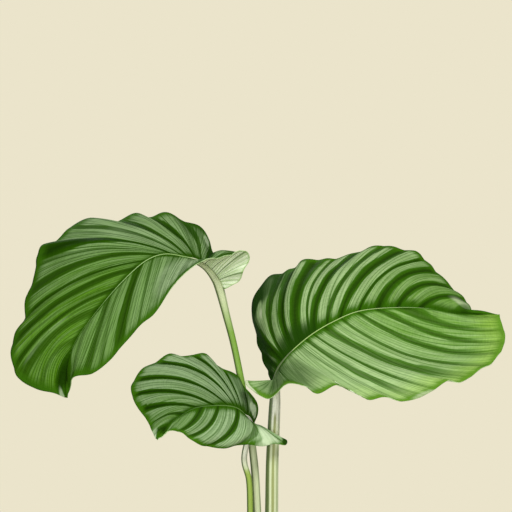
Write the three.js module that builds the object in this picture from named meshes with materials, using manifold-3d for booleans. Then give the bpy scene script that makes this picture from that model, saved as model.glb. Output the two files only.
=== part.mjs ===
// Calathea orbifolia in a plain terracotta pot: three broad banded leaves on long
// stalks that rise close together from the soil.
// Millimetres, +Z up. The origin is the centre of the pot's foot, and the plant's
// display side faces -Y.

import * as THREE from 'three';
import { mergeVertices } from 'three/addons/utils/BufferGeometryUtils.js';
import Module from 'manifold-3d';

// Clearance between neighbouring pieces, and round the soil, where facets eat into it.
const GAP = 0.3;
const SOIL_GAP = 0.37;

// Blades: one thin sheet each, quilted into bands between the side veins.
const BLADE_THICKNESS = 0.8;
const QUILT_SHARE = 0.09; // rise of a band as a share of its own width
const QUILT_RISE = 1.4; // greatest rise of a band
const QUILT_START = 0.3; // share of the row where the quilting reaches full rise
const ROWS_PER_BAND = 4;
const MIDRIB_STEPS = 40;
const BLADE_COLUMNS = [0.1, 0.24, 0.4, 0.56, 0.72, 0.87, 1];
const NUDGE = 0.02; // small step, in side veins and in reach, that slopes are measured over
const LINE_STEPS = 600; // steps that a line's length is measured in
const LINE_TENSION = 0.5;

// Stalks: round, slightly swollen just below the blade, each running on as a
// tapering rib under the first part of the blade.
const STALK_SIDES = 12;
const STALK_RINGS = 36;

// Soil: filled to just below the pot's rim, with a plain hole for each stalk.
const SOIL_TOP = 118;
const STALK_FOOT = 92; // height of the stalks' cut ends in the soil
const HOLE_SIDES = 20;
const SOIL_LUMP = 1.6; // height of the soil's lumps above and below its level
const SOIL_LEVEL_EDGE = 12; // width of the ring beside the wall where they flatten out
const SOIL_WAVES = { x: 0.31, y: 0.27 }; // radians a millimetre of the waves that cross
const SOIL_SWAYS = { x: 0.21, y: 0.17, byY: 1.3, byX: 0.8 }; // slower waves that bend them
const SOIL_RINGS = [0, 8, 17, 26, 35, 44, 53];

// Pot: a tapered wall with a thick collar, and drainage holes around the floor's middle.
const POT_SEGMENTS = 48;
const POT_HEIGHT = 130;
const POT_FOOT_RADIUS = 50;
const POT_COLLAR_Z = 102; // underside of the collar
const POT_WALL_RADIUS = 64.5; // outside, just below the collar
const POT_COLLAR_RADIUS = [70.5, 75.5]; // outside, at the collar's foot and top
const POT_FLOOR = 8;
const POT_INSIDE = [[66, 128.5], [65, SOIL_TOP], [60, 100], [45.5, 10], [43.5, POT_FLOOR]]; // radius, height
const POT_CHAMFER = 1.5; // on the foot, under the collar and inside the lip
const LIP_CHAMFERS = [[0, 3], [0.8, 0.8], [3, 0]]; // in from the collar's top corner, down from it
const OVERSHOOT = 1; // how far a drain's cut runs past the floor's faces
const DRAIN_HOLES = 3;
const DRAIN_RADIUS = 5;
const DRAIN_CIRCLE = 26; // radius of the circle they lie on

// Blades. midrib and rim are points along each line from the base to the tip. Each
// row of veins is one side vein: its end as a share of the rim, its start as a share
// of the midrib, and how far it bows along x, y and z. facing is the side of the
// sheet that is the leaf's upper face.
const LEFT_BLADE = {
  facing: -1,
  midrib: [
      [-29, 0, 392], [-36, -1, 404], [-46.5, -4, 413], [-61, -10, 417], [-77.5, -18, 419], [-93.5, -27, 412.5],
      [-112.5, -38, 394.5], [-129.5, -46, 374], [-144.5, -51, 353.5], [-153, -53, 335.5], [-155.5, -51, 317.5], [-156, -48, 301],
  ],
  far: {
    rim: [
      [-26.5, 5, 395.5], [-16.5, 22, 405.5], [-13, 34, 417.5], [-24.5, 38, 420.5], [-36.5, 40, 419.5], [-42, 42, 431.5],
      [-50.5, 44, 443], [-65, 46, 448.5], [-79.5, 46, 454.5], [-92.5, 42, 451], [-105.5, 40, 453.5], [-124, 33, 446.5],
      [-144.5, 26, 449], [-161, 18, 441], [-170.5, 12, 429], [-183, 4, 425.5], [-186, -4, 411], [-187.5, -12, 394],
      [-192.5, -19, 383], [-193, -27, 363.5], [-200, -34, 351], [-201.5, -43, 336], [-195.5, -50, 318], [-180.5, -54, 309],
      [-166.5, -54, 305.5], [-158, -49, 301.5],
    ],
    veins: [
      [0, 0, 0, 0, 0], [0.05, 0.05, 0, 4, 3], [0.11, 0.095, -1, 4, 4], [0.188, 0.129, -1.2, 3.4, 2.6],
      [0.249, 0.142, 0.2, 0.1, 0.5], [0.288, 0.151, 0.8, -2, 0.5], [0.331, 0.16, 1.7, -4.2, 2.1], [0.399, 0.18, 2.4, -7.6, 4.8],
      [0.518, 0.213, 1.8, -11.6, 7], [0.562, 0.246, 0.6, -12.2, 8], [0.643, 0.274, -1, -11.8, 9.2], [0.695, 0.303, -2.8, -10.9, 10.4],
      [0.749, 0.343, -4, -9.6, 9.9], [0.786, 0.391, -4.2, -8.4, 8.1], [0.84, 0.465, -4.8, -6.2, 7], [0.895, 0.571, -6.8, -4.1, 7.3],
      [0.94, 0.664, -8.8, -2.4, 6.9], [0.964, 0.753, -8.1, -1.4, 4.8], [0.985, 0.808, -4.6, -0.6, 2], [1, 1, 0, 0, 0],
    ],
  },
  near: {
    rim: [
      [-26.5, -3, 389.5], [-19.5, -8, 393.5], [-13.5, -11, 397.5], [-10, -16, 406.5], [-5.5, -20, 415], [-8.5, -25, 421.5],
      [-16.5, -31, 420], [-26.5, -37, 416], [-37, -42, 415.5], [-44.5, -45, 412.5], [-53.5, -48, 406], [-65.5, -51, 394],
      [-82.5, -56, 371], [-94, -59, 361.5], [-109, -63, 344.5], [-119.5, -65, 332], [-132.5, -65, 322], [-147, -61, 319],
      [-152, -54, 309.5], [-155, -48.5, 301],
    ],
    veins: [
      [0, 0, 0, 0, 0], [0.097, 0.026, -0.3, -1.3, 0.8], [0.187, 0.046, -0.6, -2.1, 1], [0.242, 0.076, -0.6, -2, 1],
      [0.302, 0.11, -0.4, -1.9, 0.8], [0.357, 0.141, -0.3, -3.2, 0.3], [0.461, 0.168, -1, -6, 0.4], [0.553, 0.22, -1.3, -8.3, 0.5],
      [0.614, 0.283, 0, -9, 0.1], [0.667, 0.332, -0.1, -9.1, 0.1], [0.749, 0.385, -1.6, -8.4, 0.4], [0.851, 0.479, -0.6, -5.9, 0.1],
      [0.896, 0.557, 0.5, -4.8, -0.2], [0.917, 0.642, -0.4, -4.2, 0.1], [0.94, 0.72, -1, -3.2, 0.2], [1, 1, 0, 0, 0],
    ],
  },
};
const RIGHT_BLADE = {
  facing: 1,
  midrib: [
      [14.5, 0, 309.5], [17, -3, 318.5], [23.5, -6, 329.5], [34, -8, 340.5], [47.5, -8, 351.5], [64.5, -6, 361.5],
      [86.5, -2, 370.5], [114, 2, 373.5], [144, 6, 373], [170, 8, 369], [189.5, 8, 367.5], [207.5, 6, 367.5],
  ],
  far: {
    rim: [
      [13, 6, 311], [11, 18, 318], [5.5, 32, 331.5], [1, 46, 347.5], [-2.5, 57, 363], [-2, 64, 377],
      [5.5, 67, 390], [13.5, 67, 399.5], [24, 62, 402], [34.5, 54, 407], [44, 47, 413.5], [60.5, 46, 414],
      [77, 48, 416], [94, 50, 422], [110.5, 51, 426], [126.5, 50, 423], [140.5, 48, 420], [152, 44, 409],
      [167, 37, 392.5], [180, 28, 380.5], [183, 22, 374.5], [189, 15, 368], [206.5, 7.5, 366.5],
    ],
    veins: [
      [0, 0, 0, 0, 0], [0.087, 0.043, 0.7, 1.8, 0.6], [0.162, 0.075, -1, -2.6, 0], [0.281, 0.104, -6, -10.8, -1.6],
      [0.345, 0.129, -9.9, -13.2, -1.4], [0.409, 0.156, -10.7, -14.4, 0.1], [0.453, 0.193, -10.7, -14.9, 1.8], [0.522, 0.247, -11.8, -15.1, 4.2],
      [0.587, 0.292, -10.9, -14.5, 5.5], [0.638, 0.354, -8.2, -13.5, 5.7], [0.705, 0.409, -7.3, -11.7, 6.8], [0.736, 0.458, -7.4, -10.9, 8.5],
      [0.77, 0.509, -7, -10, 9.6], [0.807, 0.572, -5.7, -9.1, 10.5], [0.86, 0.635, -3.5, -7.4, 10], [0.903, 0.721, -1.4, -5.1, 6.2],
      [1, 1, 0, 0, 0],
    ],
  },
  near: {
    rim: [
      [12.5, -4, 309], [5, -10, 309], [-3.5, -16, 310], [-9, -20, 312.5], [-8, -25, 309], [-2.5, -28, 304.5],
      [4, -30, 300], [11, -32, 298], [18, -35, 302.5], [26.5, -38, 310.5], [38, -43, 309.5], [51, -48, 304],
      [67, -53, 312], [78.5, -58, 306.5], [91.5, -60, 300], [104.5, -62, 302.5], [119, -62, 299], [138, -58, 303.5],
      [156, -53, 314], [167, -49, 312.5], [182.5, -41, 321], [196.5, -30, 328], [206.5, -19, 338.5], [210.5, -9, 350],
      [208, 1, 362.5], [208, 5.5, 367.5],
    ],
    veins: [
      [0, 0, 0, 0, 0], [0.065, 0.01, 0.5, -1, -0.4], [0.134, 0.021, 1, -1.7, -0.9], [0.234, 0.057, 0.6, -4.1, -0.4],
      [0.26, 0.074, -0.8, -4.8, -0.9], [0.339, 0.123, -1.8, -6.9, -2], [0.441, 0.167, -1.7, -8.8, -2.3], [0.548, 0.205, -1.8, -9, -3.2],
      [0.631, 0.245, -2.4, -8.9, -5.1], [0.686, 0.281, -2.7, -8.1, -6.6], [0.75, 0.335, -3.3, -7.3, -9.4], [0.843, 0.387, -3.8, -5.1, -13.3],
      [0.894, 0.434, -3.2, -3.8, -13.3], [0.927, 0.481, -2, -2.9, -9.9], [0.964, 0.583, -1, -1.5, -5.9], [1, 1, 0, 0, 0],
    ],
  },
};
const SMALL_BLADE = {
  facing: -1,
  midrib: [
      [-3.5, -6, 275.5], [-8.5, -10, 282.5], [-15, -15, 289], [-23.5, -22, 292], [-36.5, -32, 293], [-50.5, -44, 292],
      [-62, -56, 286.5], [-72, -68, 279.5], [-80, -78, 270],
  ],
  far: {
    rim: [
      [-1.5, -4, 276], [1, -2, 284.5], [0, -2, 293], [-5, -3, 300.5], [-11, -4, 307.5], [-16, -3, 315.5],
      [-26.5, -2, 321], [-36.5, 0, 326], [-43.5, 2, 333.5], [-51, -2, 334], [-63.5, -8, 331.5], [-74, -12, 333.5],
      [-85, -18, 327.5], [-95, -26, 321.5], [-102, -34, 312], [-102.5, -42, 303.5], [-97, -52, 293], [-89, -62, 284],
      [-84.5, -70, 276.5], [-81, -77, 270.5],
    ],
    veins: [
      [0, 0, 0, 0, 0], [0.06, 0.03, -0.3, 0.1, 0.3], [0.144, 0.067, 0.8, -0.5, 0.3], [0.242, 0.114, 1.7, -2.2, 0.6],
      [0.316, 0.148, 2.2, -4.4, 1.4], [0.419, 0.182, 3.5, -7.3, 4.2], [0.573, 0.222, 4.5, -9.1, 8.8], [0.7, 0.269, 3.2, -8.4, 11.3],
      [0.78, 0.348, 0.9, -6.9, 10], [0.893, 0.474, -1, -4.5, 7.2], [0.949, 0.625, -1.4, -2.4, 3.9], [1, 1, 0, 0, 0],
    ],
  },
  near: {
    rim: [
      [-2.5, -6, 273], [7, -10, 268], [17, -12, 264.5], [25.5, -14, 261], [23.5, -16, 258], [15, -19, 260],
      [5, -22, 258.5], [-6, -27, 260.5], [-16, -33, 260.5], [-28, -42, 260], [-42, -53, 262], [-53, -63, 268],
      [-61, -70, 274.5], [-68.5, -75, 275.5], [-75.5, -79, 272], [-79.5, -79, 269.5],
    ],
    veins: [
      [0, 0, 0, 0, 0], [0.09, 0.015, 0.1, -1, -0.2], [0.182, 0.03, 0.2, -2, -0.4], [0.26, 0.049, 1.5, -3.3, -0.3],
      [0.341, 0.067, 2.9, -4.5, -0.1], [0.48, 0.105, 6.1, -6.1, -1.2], [0.566, 0.148, 7, -5.8, -3], [0.655, 0.201, 6.3, -4.8, -3.8],
      [0.722, 0.287, 5.3, -4.1, -3.8], [0.809, 0.366, 4.2, -2.2, -3.6], [0.867, 0.474, 2.9, -1.4, -2.7], [0.908, 0.585, 1.6, -1, -1.4],
      [0.949, 0.71, 0.5, -0.6, -0.5], [1, 1, 0, 0, 0],
    ],
  },
};

// Stalk rows give x, y, z and radius from the foot in the soil up to the blade.
const LEFT_STALK = {
  rows: [
    [5, 9, STALK_FOOT, 3.7], [5, 9, 106, 3.7], [5, 9, 120, 3.7], [4.5, 9, 142, 3.65], [3, 9, 170, 3.6],
    [1, 9, 200, 3.5], [-1, 8.5, 235, 3.4], [-5.5, 7.5, 272, 3.2], [-11.5, 6.5, 305, 3], [-18.5, 5, 340, 2.9],
    [-25, 3, 366, 3.2],
  ],
  ribReach: 0.2,
  ribSteps: 4,
  ribRadius: [3.9, 1.8],
  ribLean: [0, 0, 0],
  ribGap: GAP + 0.2,
};
const RIGHT_STALK = {
  rows: [
    [12, -1, STALK_FOOT, 5.8], [12, -1, 106, 5.8], [12, -1, 120, 5.8], [12.2, -1, 142, 5.75], [12.8, -0.5, 170, 5.7],
    [13.4, 0, 205, 5.6], [13.8, 0, 240, 5.4], [15, 0, 270, 5.2], [16, 0, 292, 4.8],
  ],
  ribReach: 0.225,
  ribSteps: 3,
  ribRadius: [3.8, 1.5],
  ribLean: [0, 0, 0],
  ribGap: GAP,
};
const SMALL_STALK = {
  rows: [
    [-4, -8, STALK_FOOT, 2.8], [-4, -8, 106, 2.8], [-4, -8, 120, 2.8], [-4.5, -8, 142, 2.75], [-5, -8, 170, 2.7],
    [-5, -7.5, 204, 2.6], [-6, -7.5, 228, 2.5], [-10, -7, 247, 2.5],
  ],
  ribReach: 0.2,
  ribSteps: 2,
  ribRadius: [2.4, 1.2],
  ribLean: [0.2, 0.5, 0],
  ribGap: GAP + 0.3,
};

// Uniform Catmull-Rom blend of number rows, t from 0 at the first to 1 at the last.
function blendRows(rows, t) {
  const last = rows.length - 1;
  const at = THREE.MathUtils.clamp(t, 0, 1) * last;
  const i = Math.min(Math.floor(at), last - 1);
  const w = at - i;
  const b = rows[i];
  const c = rows[i + 1];
  const a = i > 0 ? rows[i - 1] : b.map((x, k) => 2 * x - c[k]);
  const d = i + 2 <= last ? rows[i + 2] : c.map((x, k) => 2 * x - b[k]);
  return b.map((p, k) => {
    const m0 = (c[k] - a[k]) / 2;
    const m1 = (d[k] - p) / 2;
    return (2 * (p - c[k]) + m0 + m1) * w ** 3 + (3 * (c[k] - p) - 2 * m0 - m1) * w ** 2 + m0 * w + p;
  });
}

// Smooth line through points, read by share of its length.
function lineThrough(points) {
  const vectors = points.map((p) => new THREE.Vector3(...p));
  const line = new THREE.CatmullRomCurve3(vectors, false, 'catmullrom', LINE_TENSION);
  line.arcLengthDivisions = LINE_STEPS;
  return line;
}

// One half of a blade, from the midrib (v = 0) to the rim (v = 1). w counts the
// side veins from the base, so each whole number is a vein.
function halfSurface(blade, side) {
  const midrib = lineThrough(blade.midrib);
  const rim = lineThrough(blade[side].rim);
  const veins = blade[side].veins;
  const bands = veins.length - 1;
  const facing = blade.facing * (side === 'far' ? 1 : -1);

  const smooth = (w, v) => {
    const [end, start, ...bow] = blendRows(veins, w / bands);
    const point = midrib.getPointAt(THREE.MathUtils.clamp(start, 0, 1));
    point.lerp(rim.getPointAt(THREE.MathUtils.clamp(end, 0, 1)), v);
    return point.addScaledVector(new THREE.Vector3(...bow), 4 * v * (1 - v));
  };
  const quilted = (w, v) => {
    const [low, high] = [Math.max(w - NUDGE, 0), Math.min(w + NUDGE, bands)];
    const across = smooth(high, v).sub(smooth(low, v));
    const outward = smooth(w, Math.min(v + NUDGE, 1)).sub(smooth(w, Math.max(v - NUDGE, 0)));
    const width = across.length() / (high - low);
    const up = across.cross(outward).normalize().multiplyScalar(facing);
    const between = w - Math.floor(w);
    const rise = Math.min(QUILT_RISE, QUILT_SHARE * width) * THREE.MathUtils.smoothstep(v, 0, QUILT_START);
    return smooth(w, v).addScaledVector(up, 4 * between * (1 - between) * rise);
  };
  return { bands, quilted, start: (w) => THREE.MathUtils.clamp(blendRows(veins, w / bands)[1], 0, 1) };
}

// The blade's middle sheet: the midrib's points, then each half's rows of points.
function bladeSheet(blade) {
  const points = [];
  const triangles = [];
  const midrib = lineThrough(blade.midrib);
  for (let k = 0; k <= MIDRIB_STEPS; k++) points.push(midrib.getPointAt(k / MIDRIB_STEPS));

  for (const side of ['far', 'near']) {
    const { bands, quilted, start } = halfSurface(blade, side);
    const upward = blade.facing * (side === 'far' ? 1 : -1) > 0;
    const add = (a, b, c) => triangles.push(upward ? [a, b, c] : [a, c, b]);
    const rows = bands * ROWS_PER_BAND;
    const columns = BLADE_COLUMNS.length;
    const first = points.length;
    const at = (row, column) => first + row * columns + column;
    for (let row = 0; row <= rows; row++) {
      for (const v of BLADE_COLUMNS) points.push(quilted(row / ROWS_PER_BAND, v));
    }
    for (let row = 0; row < rows; row++) {
      for (let column = 0; column + 1 < columns; column++) {
        add(at(row, column), at(row + 1, column), at(row + 1, column + 1));
        add(at(row, column), at(row + 1, column + 1), at(row, column + 1));
      }
    }
    // The strip beside the midrib joins its even steps to the half's own rows.
    let k = 0;
    let row = 0;
    while (k < MIDRIB_STEPS || row < rows) {
      const nextStep = (k + 0.5) / MIDRIB_STEPS;
      const nextRow = row < rows ? start((row + 0.5) / ROWS_PER_BAND) : Infinity;
      if (k < MIDRIB_STEPS && nextStep <= nextRow) {
        add(k, k + 1, at(row, 0));
        k++;
      } else {
        add(k, at(row + 1, 0), at(row, 0));
        row++;
      }
    }
  }
  return { points, triangles };
}

function meshGeometry(points, triangles) {
  const geometry = new THREE.BufferGeometry();
  geometry.setAttribute('position', new THREE.Float32BufferAttribute(points.flatMap((p) => [p.x, p.y, p.z]), 3));
  geometry.setIndex(triangles.flat());
  geometry.computeVertexNormals();
  return geometry;
}

function vertexNormals(points, triangles) {
  const normals = meshGeometry(points, triangles).getAttribute('normal');
  return points.map((_, i) => new THREE.Vector3().fromBufferAttribute(normals, i));
}

// Gives a sheet its thickness: both faces carry the same triangles, and a wall
// closes every edge that only one triangle uses.
function thicken({ points, triangles }, thickness) {
  const normals = vertexNormals(points, triangles);
  const count = points.length;
  const upper = points.map((p, i) => p.clone().addScaledVector(normals[i], thickness / 2));
  const lower = points.map((p, i) => p.clone().addScaledVector(normals[i], -thickness / 2));
  const solid = [...triangles, ...triangles.map(([a, b, c]) => [a + count, c + count, b + count])];
  const used = new Set(triangles.flatMap(([a, b, c]) => [`${a},${b}`, `${b},${c}`, `${c},${a}`]));
  for (const edge of used) {
    const [a, b] = edge.split(',').map(Number);
    if (!used.has(`${b},${a}`)) solid.push([a, b + count, b], [a, a + count, b + count]);
  }
  return meshGeometry([...upper, ...lower], solid);
}

// A stalk follows rows of x, y, z and radius, which end in the rib under its blade.
class StalkLine extends THREE.Curve {
  constructor(rows) {
    super();
    this.rows = rows;
    this.arcLengthDivisions = LINE_STEPS;
  }

  getPoint(t, target = new THREE.Vector3()) {
    const [x, y, z] = blendRows(this.rows, t);
    return target.set(x, y, z);
  }

  radiusAt(share) {
    return blendRows(this.rows, this.getUtoTmapping(share))[3];
  }
}

// The rib's rows sit under the midrib, clear of the blade's lower face.
function ribRows(blade, stalk) {
  const { points, triangles } = bladeSheet(blade);
  const normals = vertexNormals(points, triangles);
  return Array.from({ length: stalk.ribSteps + 1 }, (_, i) => {
    const share = i / stalk.ribSteps;
    const step = Math.round(share * stalk.ribReach * MIDRIB_STEPS);
    const radius = THREE.MathUtils.lerp(stalk.ribRadius[0], stalk.ribRadius[1], share);
    const away = new THREE.Vector3(...stalk.ribLean).sub(normals[step]).normalize();
    const centre = points[step].clone().addScaledVector(away, BLADE_THICKNESS / 2 + radius + stalk.ribGap);
    return [centre.x, centre.y, centre.z, radius];
  });
}

function stalkGeometry(blade, stalk) {
  const line = new StalkLine([...stalk.rows, ...ribRows(blade, stalk)]);
  const frames = line.computeFrenetFrames(STALK_RINGS, false);
  const points = [];
  const triangles = [];
  for (let ring = 0; ring <= STALK_RINGS; ring++) {
    const centre = line.getPointAt(ring / STALK_RINGS);
    const radius = line.radiusAt(ring / STALK_RINGS);
    for (let side = 0; side < STALK_SIDES; side++) {
      const angle = (side / STALK_SIDES) * 2 * Math.PI;
      points.push(centre.clone()
        .addScaledVector(frames.normals[ring], radius * Math.cos(angle))
        .addScaledVector(frames.binormals[ring], radius * Math.sin(angle)));
    }
  }
  const at = (ring, side) => ring * STALK_SIDES + (side % STALK_SIDES);
  for (let ring = 0; ring < STALK_RINGS; ring++) {
    for (let side = 0; side < STALK_SIDES; side++) {
      triangles.push([at(ring, side), at(ring, side + 1), at(ring + 1, side + 1)]);
      triangles.push([at(ring, side), at(ring + 1, side + 1), at(ring + 1, side)]);
    }
  }
  for (const [ring, share] of [[0, 0], [STALK_RINGS, 1]]) {
    const middle = points.push(line.getPointAt(share)) - 1;
    for (let side = 0; side < STALK_SIDES; side++) {
      const edge = [at(ring, side), at(ring, side + 1)];
      triangles.push(ring ? [...edge, middle] : [edge[1], edge[0], middle]);
    }
  }
  return meshGeometry(points, triangles);
}

// A closed ring of radius and height pairs turned about +Z.
function turned(profile, segments) {
  const loop = profile.map(([radius, height]) => new THREE.Vector2(radius, height));
  return new THREE.LatheGeometry(loop, segments).rotateX(Math.PI / 2);
}

const wasm = await Module();
wasm.setup();

function solidOf(geometry) {
  geometry.deleteAttribute('normal');
  geometry.deleteAttribute('uv');
  const welded = mergeVertices(geometry, 1e-3);
  return new wasm.Manifold(new wasm.Mesh({
    numProp: 3,
    vertProperties: new Float32Array(welded.getAttribute('position').array),
    triVerts: new Uint32Array(welded.getIndex().array),
  }));
}

// Cuts upright round holes out of a closed geometry.
function drilled(geometry, holes) {
  let solid = solidOf(geometry);
  for (const { x, y, radius, bottom, top } of holes) {
    const hole = new THREE.CylinderGeometry(radius, radius, top - bottom, HOLE_SIDES)
      .rotateX(Math.PI / 2)
      .translate(x, y, (top + bottom) / 2);
    solid = solid.subtract(solidOf(hole));
  }
  const { vertProperties, triVerts } = solid.getMesh();
  const cut = new THREE.BufferGeometry();
  cut.setAttribute('position', new THREE.BufferAttribute(new Float32Array(vertProperties), 3));
  cut.setIndex(new THREE.BufferAttribute(new Uint32Array(triVerts), 1));
  cut.computeVertexNormals();
  return cut;
}

function potGeometry() {
  const [collarFoot, collarTop] = POT_COLLAR_RADIUS;
  const profile = [
    [0, 0],
    [POT_FOOT_RADIUS - POT_CHAMFER, 0],
    [POT_FOOT_RADIUS, POT_CHAMFER],
    [POT_WALL_RADIUS, POT_COLLAR_Z - POT_CHAMFER],
    [POT_WALL_RADIUS + POT_CHAMFER, POT_COLLAR_Z],
    [collarFoot - POT_CHAMFER, POT_COLLAR_Z],
    [collarFoot, POT_COLLAR_Z + POT_CHAMFER],
    ...LIP_CHAMFERS.map(([inward, down]) => [collarTop - inward, POT_HEIGHT - down]),
    [POT_INSIDE[0][0] + POT_CHAMFER, POT_HEIGHT],
    ...POT_INSIDE,
    [0, POT_FLOOR],
  ];
  const drains = Array.from({ length: DRAIN_HOLES }, (_, i) => {
    const angle = ((i + 0.5) / DRAIN_HOLES) * 2 * Math.PI;
    return {
      x: DRAIN_CIRCLE * Math.cos(angle),
      y: DRAIN_CIRCLE * Math.sin(angle),
      radius: DRAIN_RADIUS,
      bottom: -OVERSHOOT,
      top: POT_FLOOR + OVERSHOOT,
    };
  });
  return drilled(turned(profile, POT_SEGMENTS), drains);
}

// The soil's height above its level: two crossed waves, each bent by a slower one.
function soilLump(x, y) {
  const { byX, byY } = SOIL_SWAYS;
  const along = Math.sin(x * SOIL_WAVES.x + byY * Math.sin(y * SOIL_SWAYS.y));
  return SOIL_LUMP * along * Math.cos(y * SOIL_WAVES.y - byX * Math.sin(x * SOIL_SWAYS.x));
}

// The soil follows the pot's inside with a small gap, and its top is lumpy but
// for the last stretch before the wall.
function soilGeometry(stalks) {
  const wall = POT_INSIDE.filter(([, z]) => z <= SOIL_TOP).map(([radius, z]) => [radius - SOIL_GAP, z]);
  const [[edge]] = wall;
  const profile = [
    [0, POT_FLOOR + GAP],
    ...wall.reverse().map(([radius, z]) => [radius, Math.max(z, POT_FLOOR + GAP)]),
    ...SOIL_RINGS.toReversed().map((radius) => [radius, SOIL_TOP]),
  ];
  const filled = turned(profile, POT_SEGMENTS);
  const position = filled.getAttribute('position');
  for (let i = 0; i < position.count; i++) {
    const [x, y, z] = [position.getX(i), position.getY(i), position.getZ(i)];
    const lumpy = 1 - THREE.MathUtils.smoothstep(Math.hypot(x, y), edge - SOIL_LEVEL_EDGE, edge);
    if (z > SOIL_TOP - GAP) position.setZ(i, z + lumpy * soilLump(x, y));
  }
  return drilled(filled, stalks.map(({ rows: [[x, y, , radius]] }) => ({
    x,
    y,
    radius: radius + SOIL_GAP,
    bottom: STALK_FOOT - GAP,
    top: SOIL_TOP + 2 * SOIL_LUMP,
  })));
}

function piece(name, geometry, color, roughness) {
  const mesh = new THREE.Mesh(geometry, new THREE.MeshStandardMaterial({ name, color, roughness }));
  mesh.name = name;
  return mesh;
}

const COLOURS = { clay: 0xb9693f, soil: 0x3a2b20, stalk: 0x9fb070, leaf: 0x5f8c42 };

const plant = new THREE.Group();
plant.name = 'calathea_orbifolia';
plant.add(piece('pot', potGeometry(), COLOURS.clay, 0.9));
plant.add(piece('soil', soilGeometry([LEFT_STALK, RIGHT_STALK, SMALL_STALK]), COLOURS.soil, 1));
plant.add(piece('stalk_left', stalkGeometry(LEFT_BLADE, LEFT_STALK), COLOURS.stalk, 0.5));
plant.add(piece('stalk_right', stalkGeometry(RIGHT_BLADE, RIGHT_STALK), COLOURS.stalk, 0.5));
plant.add(piece('stalk_small', stalkGeometry(SMALL_BLADE, SMALL_STALK), COLOURS.stalk, 0.5));
plant.add(piece('blade_left', thicken(bladeSheet(LEFT_BLADE), BLADE_THICKNESS), COLOURS.leaf, 0.45));
plant.add(piece('blade_right', thicken(bladeSheet(RIGHT_BLADE), BLADE_THICKNESS), COLOURS.leaf, 0.45));
plant.add(piece('blade_small', thicken(bladeSheet(SMALL_BLADE), BLADE_THICKNESS), COLOURS.leaf, 0.45));

export default plant;
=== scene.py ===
import logging
import math
import random
from dataclasses import dataclass
from enum import Enum
from typing import Callable, Optional, Sequence, Union

import bmesh
import bpy
import numpy as np
from mathutils import Matrix, Vector, noise

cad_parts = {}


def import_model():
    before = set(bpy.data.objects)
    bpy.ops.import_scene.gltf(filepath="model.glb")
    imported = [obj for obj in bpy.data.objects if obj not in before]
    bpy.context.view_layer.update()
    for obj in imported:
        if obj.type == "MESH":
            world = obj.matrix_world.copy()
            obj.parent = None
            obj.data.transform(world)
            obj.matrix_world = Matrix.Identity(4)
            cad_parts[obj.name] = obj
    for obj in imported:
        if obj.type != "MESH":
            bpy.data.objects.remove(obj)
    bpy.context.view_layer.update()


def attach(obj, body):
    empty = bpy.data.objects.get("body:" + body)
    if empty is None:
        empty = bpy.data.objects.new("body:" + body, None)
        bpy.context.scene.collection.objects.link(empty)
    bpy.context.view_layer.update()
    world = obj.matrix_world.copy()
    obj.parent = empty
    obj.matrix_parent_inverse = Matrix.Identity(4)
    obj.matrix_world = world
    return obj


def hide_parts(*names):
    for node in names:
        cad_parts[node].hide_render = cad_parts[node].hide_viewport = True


# Calathea orbifolia in a clay pot: three banded leaves on long stalks, the soil and
# the pot. Plans are in millimetres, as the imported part's are; meshes are in metres.

log = logging.getLogger("calathea")

MM = 0.001
# The least length that a vector is divided by
TINY = 1e-9

Span = tuple[float, float]
Point = tuple[float, float, float]
Colour = tuple[float, float, float, float]
# Noise: its lumps in a metre, its octaves and how strong the finer octaves are
Grain = tuple[float, ...]
Field = Callable[[np.ndarray, np.ndarray], np.ndarray]

# Side veins are counted from the base. The near half's count starts here and the far half's
# ends well below it, so that a shader can tell the halves apart.
NEAR_VEINS = 40.0


class Slot(Enum):
    """The record's material slots."""

    CLAY = "terracotta"
    SOIL = "soil"
    STALK = "stalk"
    LEAF = "leaf"


class Side(Enum):
    """The two halves of a blade, as seen from the display side."""

    FAR = 1
    NEAR = -1


class Heading(Enum):
    """Which way a blade's tip points, as seen from the display side."""

    LEFT = -1
    RIGHT = 1


def tint(red: float, green: float, blue: float) -> Colour:
    """Turns a given colour into the linear light that a shader takes.

    Args:
        red: Red, 0 to 255.
        green: Green, 0 to 255.
        blue: Blue, 0 to 255.

    Returns:
        Linear red, green and blue with an opaque alpha.
    """
    parts = (c / 255 for c in (red, green, blue))
    r, g, b = (c / 12.92 if c <= 0.04045 else ((c + 0.055) / 1.055) ** 2.4 for c in parts)
    return (r, g, b, 1.0)


# Smooth lines and rows

def blend_rows(rows: np.ndarray, t: np.ndarray) -> np.ndarray:
    """Blends evenly spaced rows of numbers with a smooth curve through each.

    Args:
        rows: The rows, first to last.
        t: Where to read, 0 at the first row and 1 at the last.

    Returns:
        One blended row for each t.
    """
    last = len(rows) - 1
    place = np.clip(t, 0, 1) * last
    i = np.minimum(place.astype(int), last - 1)
    w = (place - i)[:, None]
    padded = np.vstack([2 * rows[0] - rows[1], rows, 2 * rows[-1] - rows[-2]])
    a, b, c, d = (padded[i + k] for k in range(4))
    leave, arrive = (c - a) / 2, (d - b) / 2
    cubic = 2 * (b - c) + leave + arrive
    square = 3 * (c - b) - 2 * leave - arrive
    return ((cubic * w + square) * w + leave) * w + b


def smooth_step(x: np.ndarray, low: float, high: float) -> np.ndarray:
    """Rises smoothly from 0 at low to 1 at high.

    Args:
        x: The values.
        low: Where the rise starts.
        high: Where it ends.

    Returns:
        The risen share of each value.
    """
    t = np.clip((x - low) / (high - low), 0, 1)
    return t * t * (3 - 2 * t)


def unit(vectors: np.ndarray) -> np.ndarray:
    """Scales rows of vectors to length 1."""
    return vectors / np.maximum(np.linalg.norm(vectors, axis=1, keepdims=True), TINY)


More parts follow.
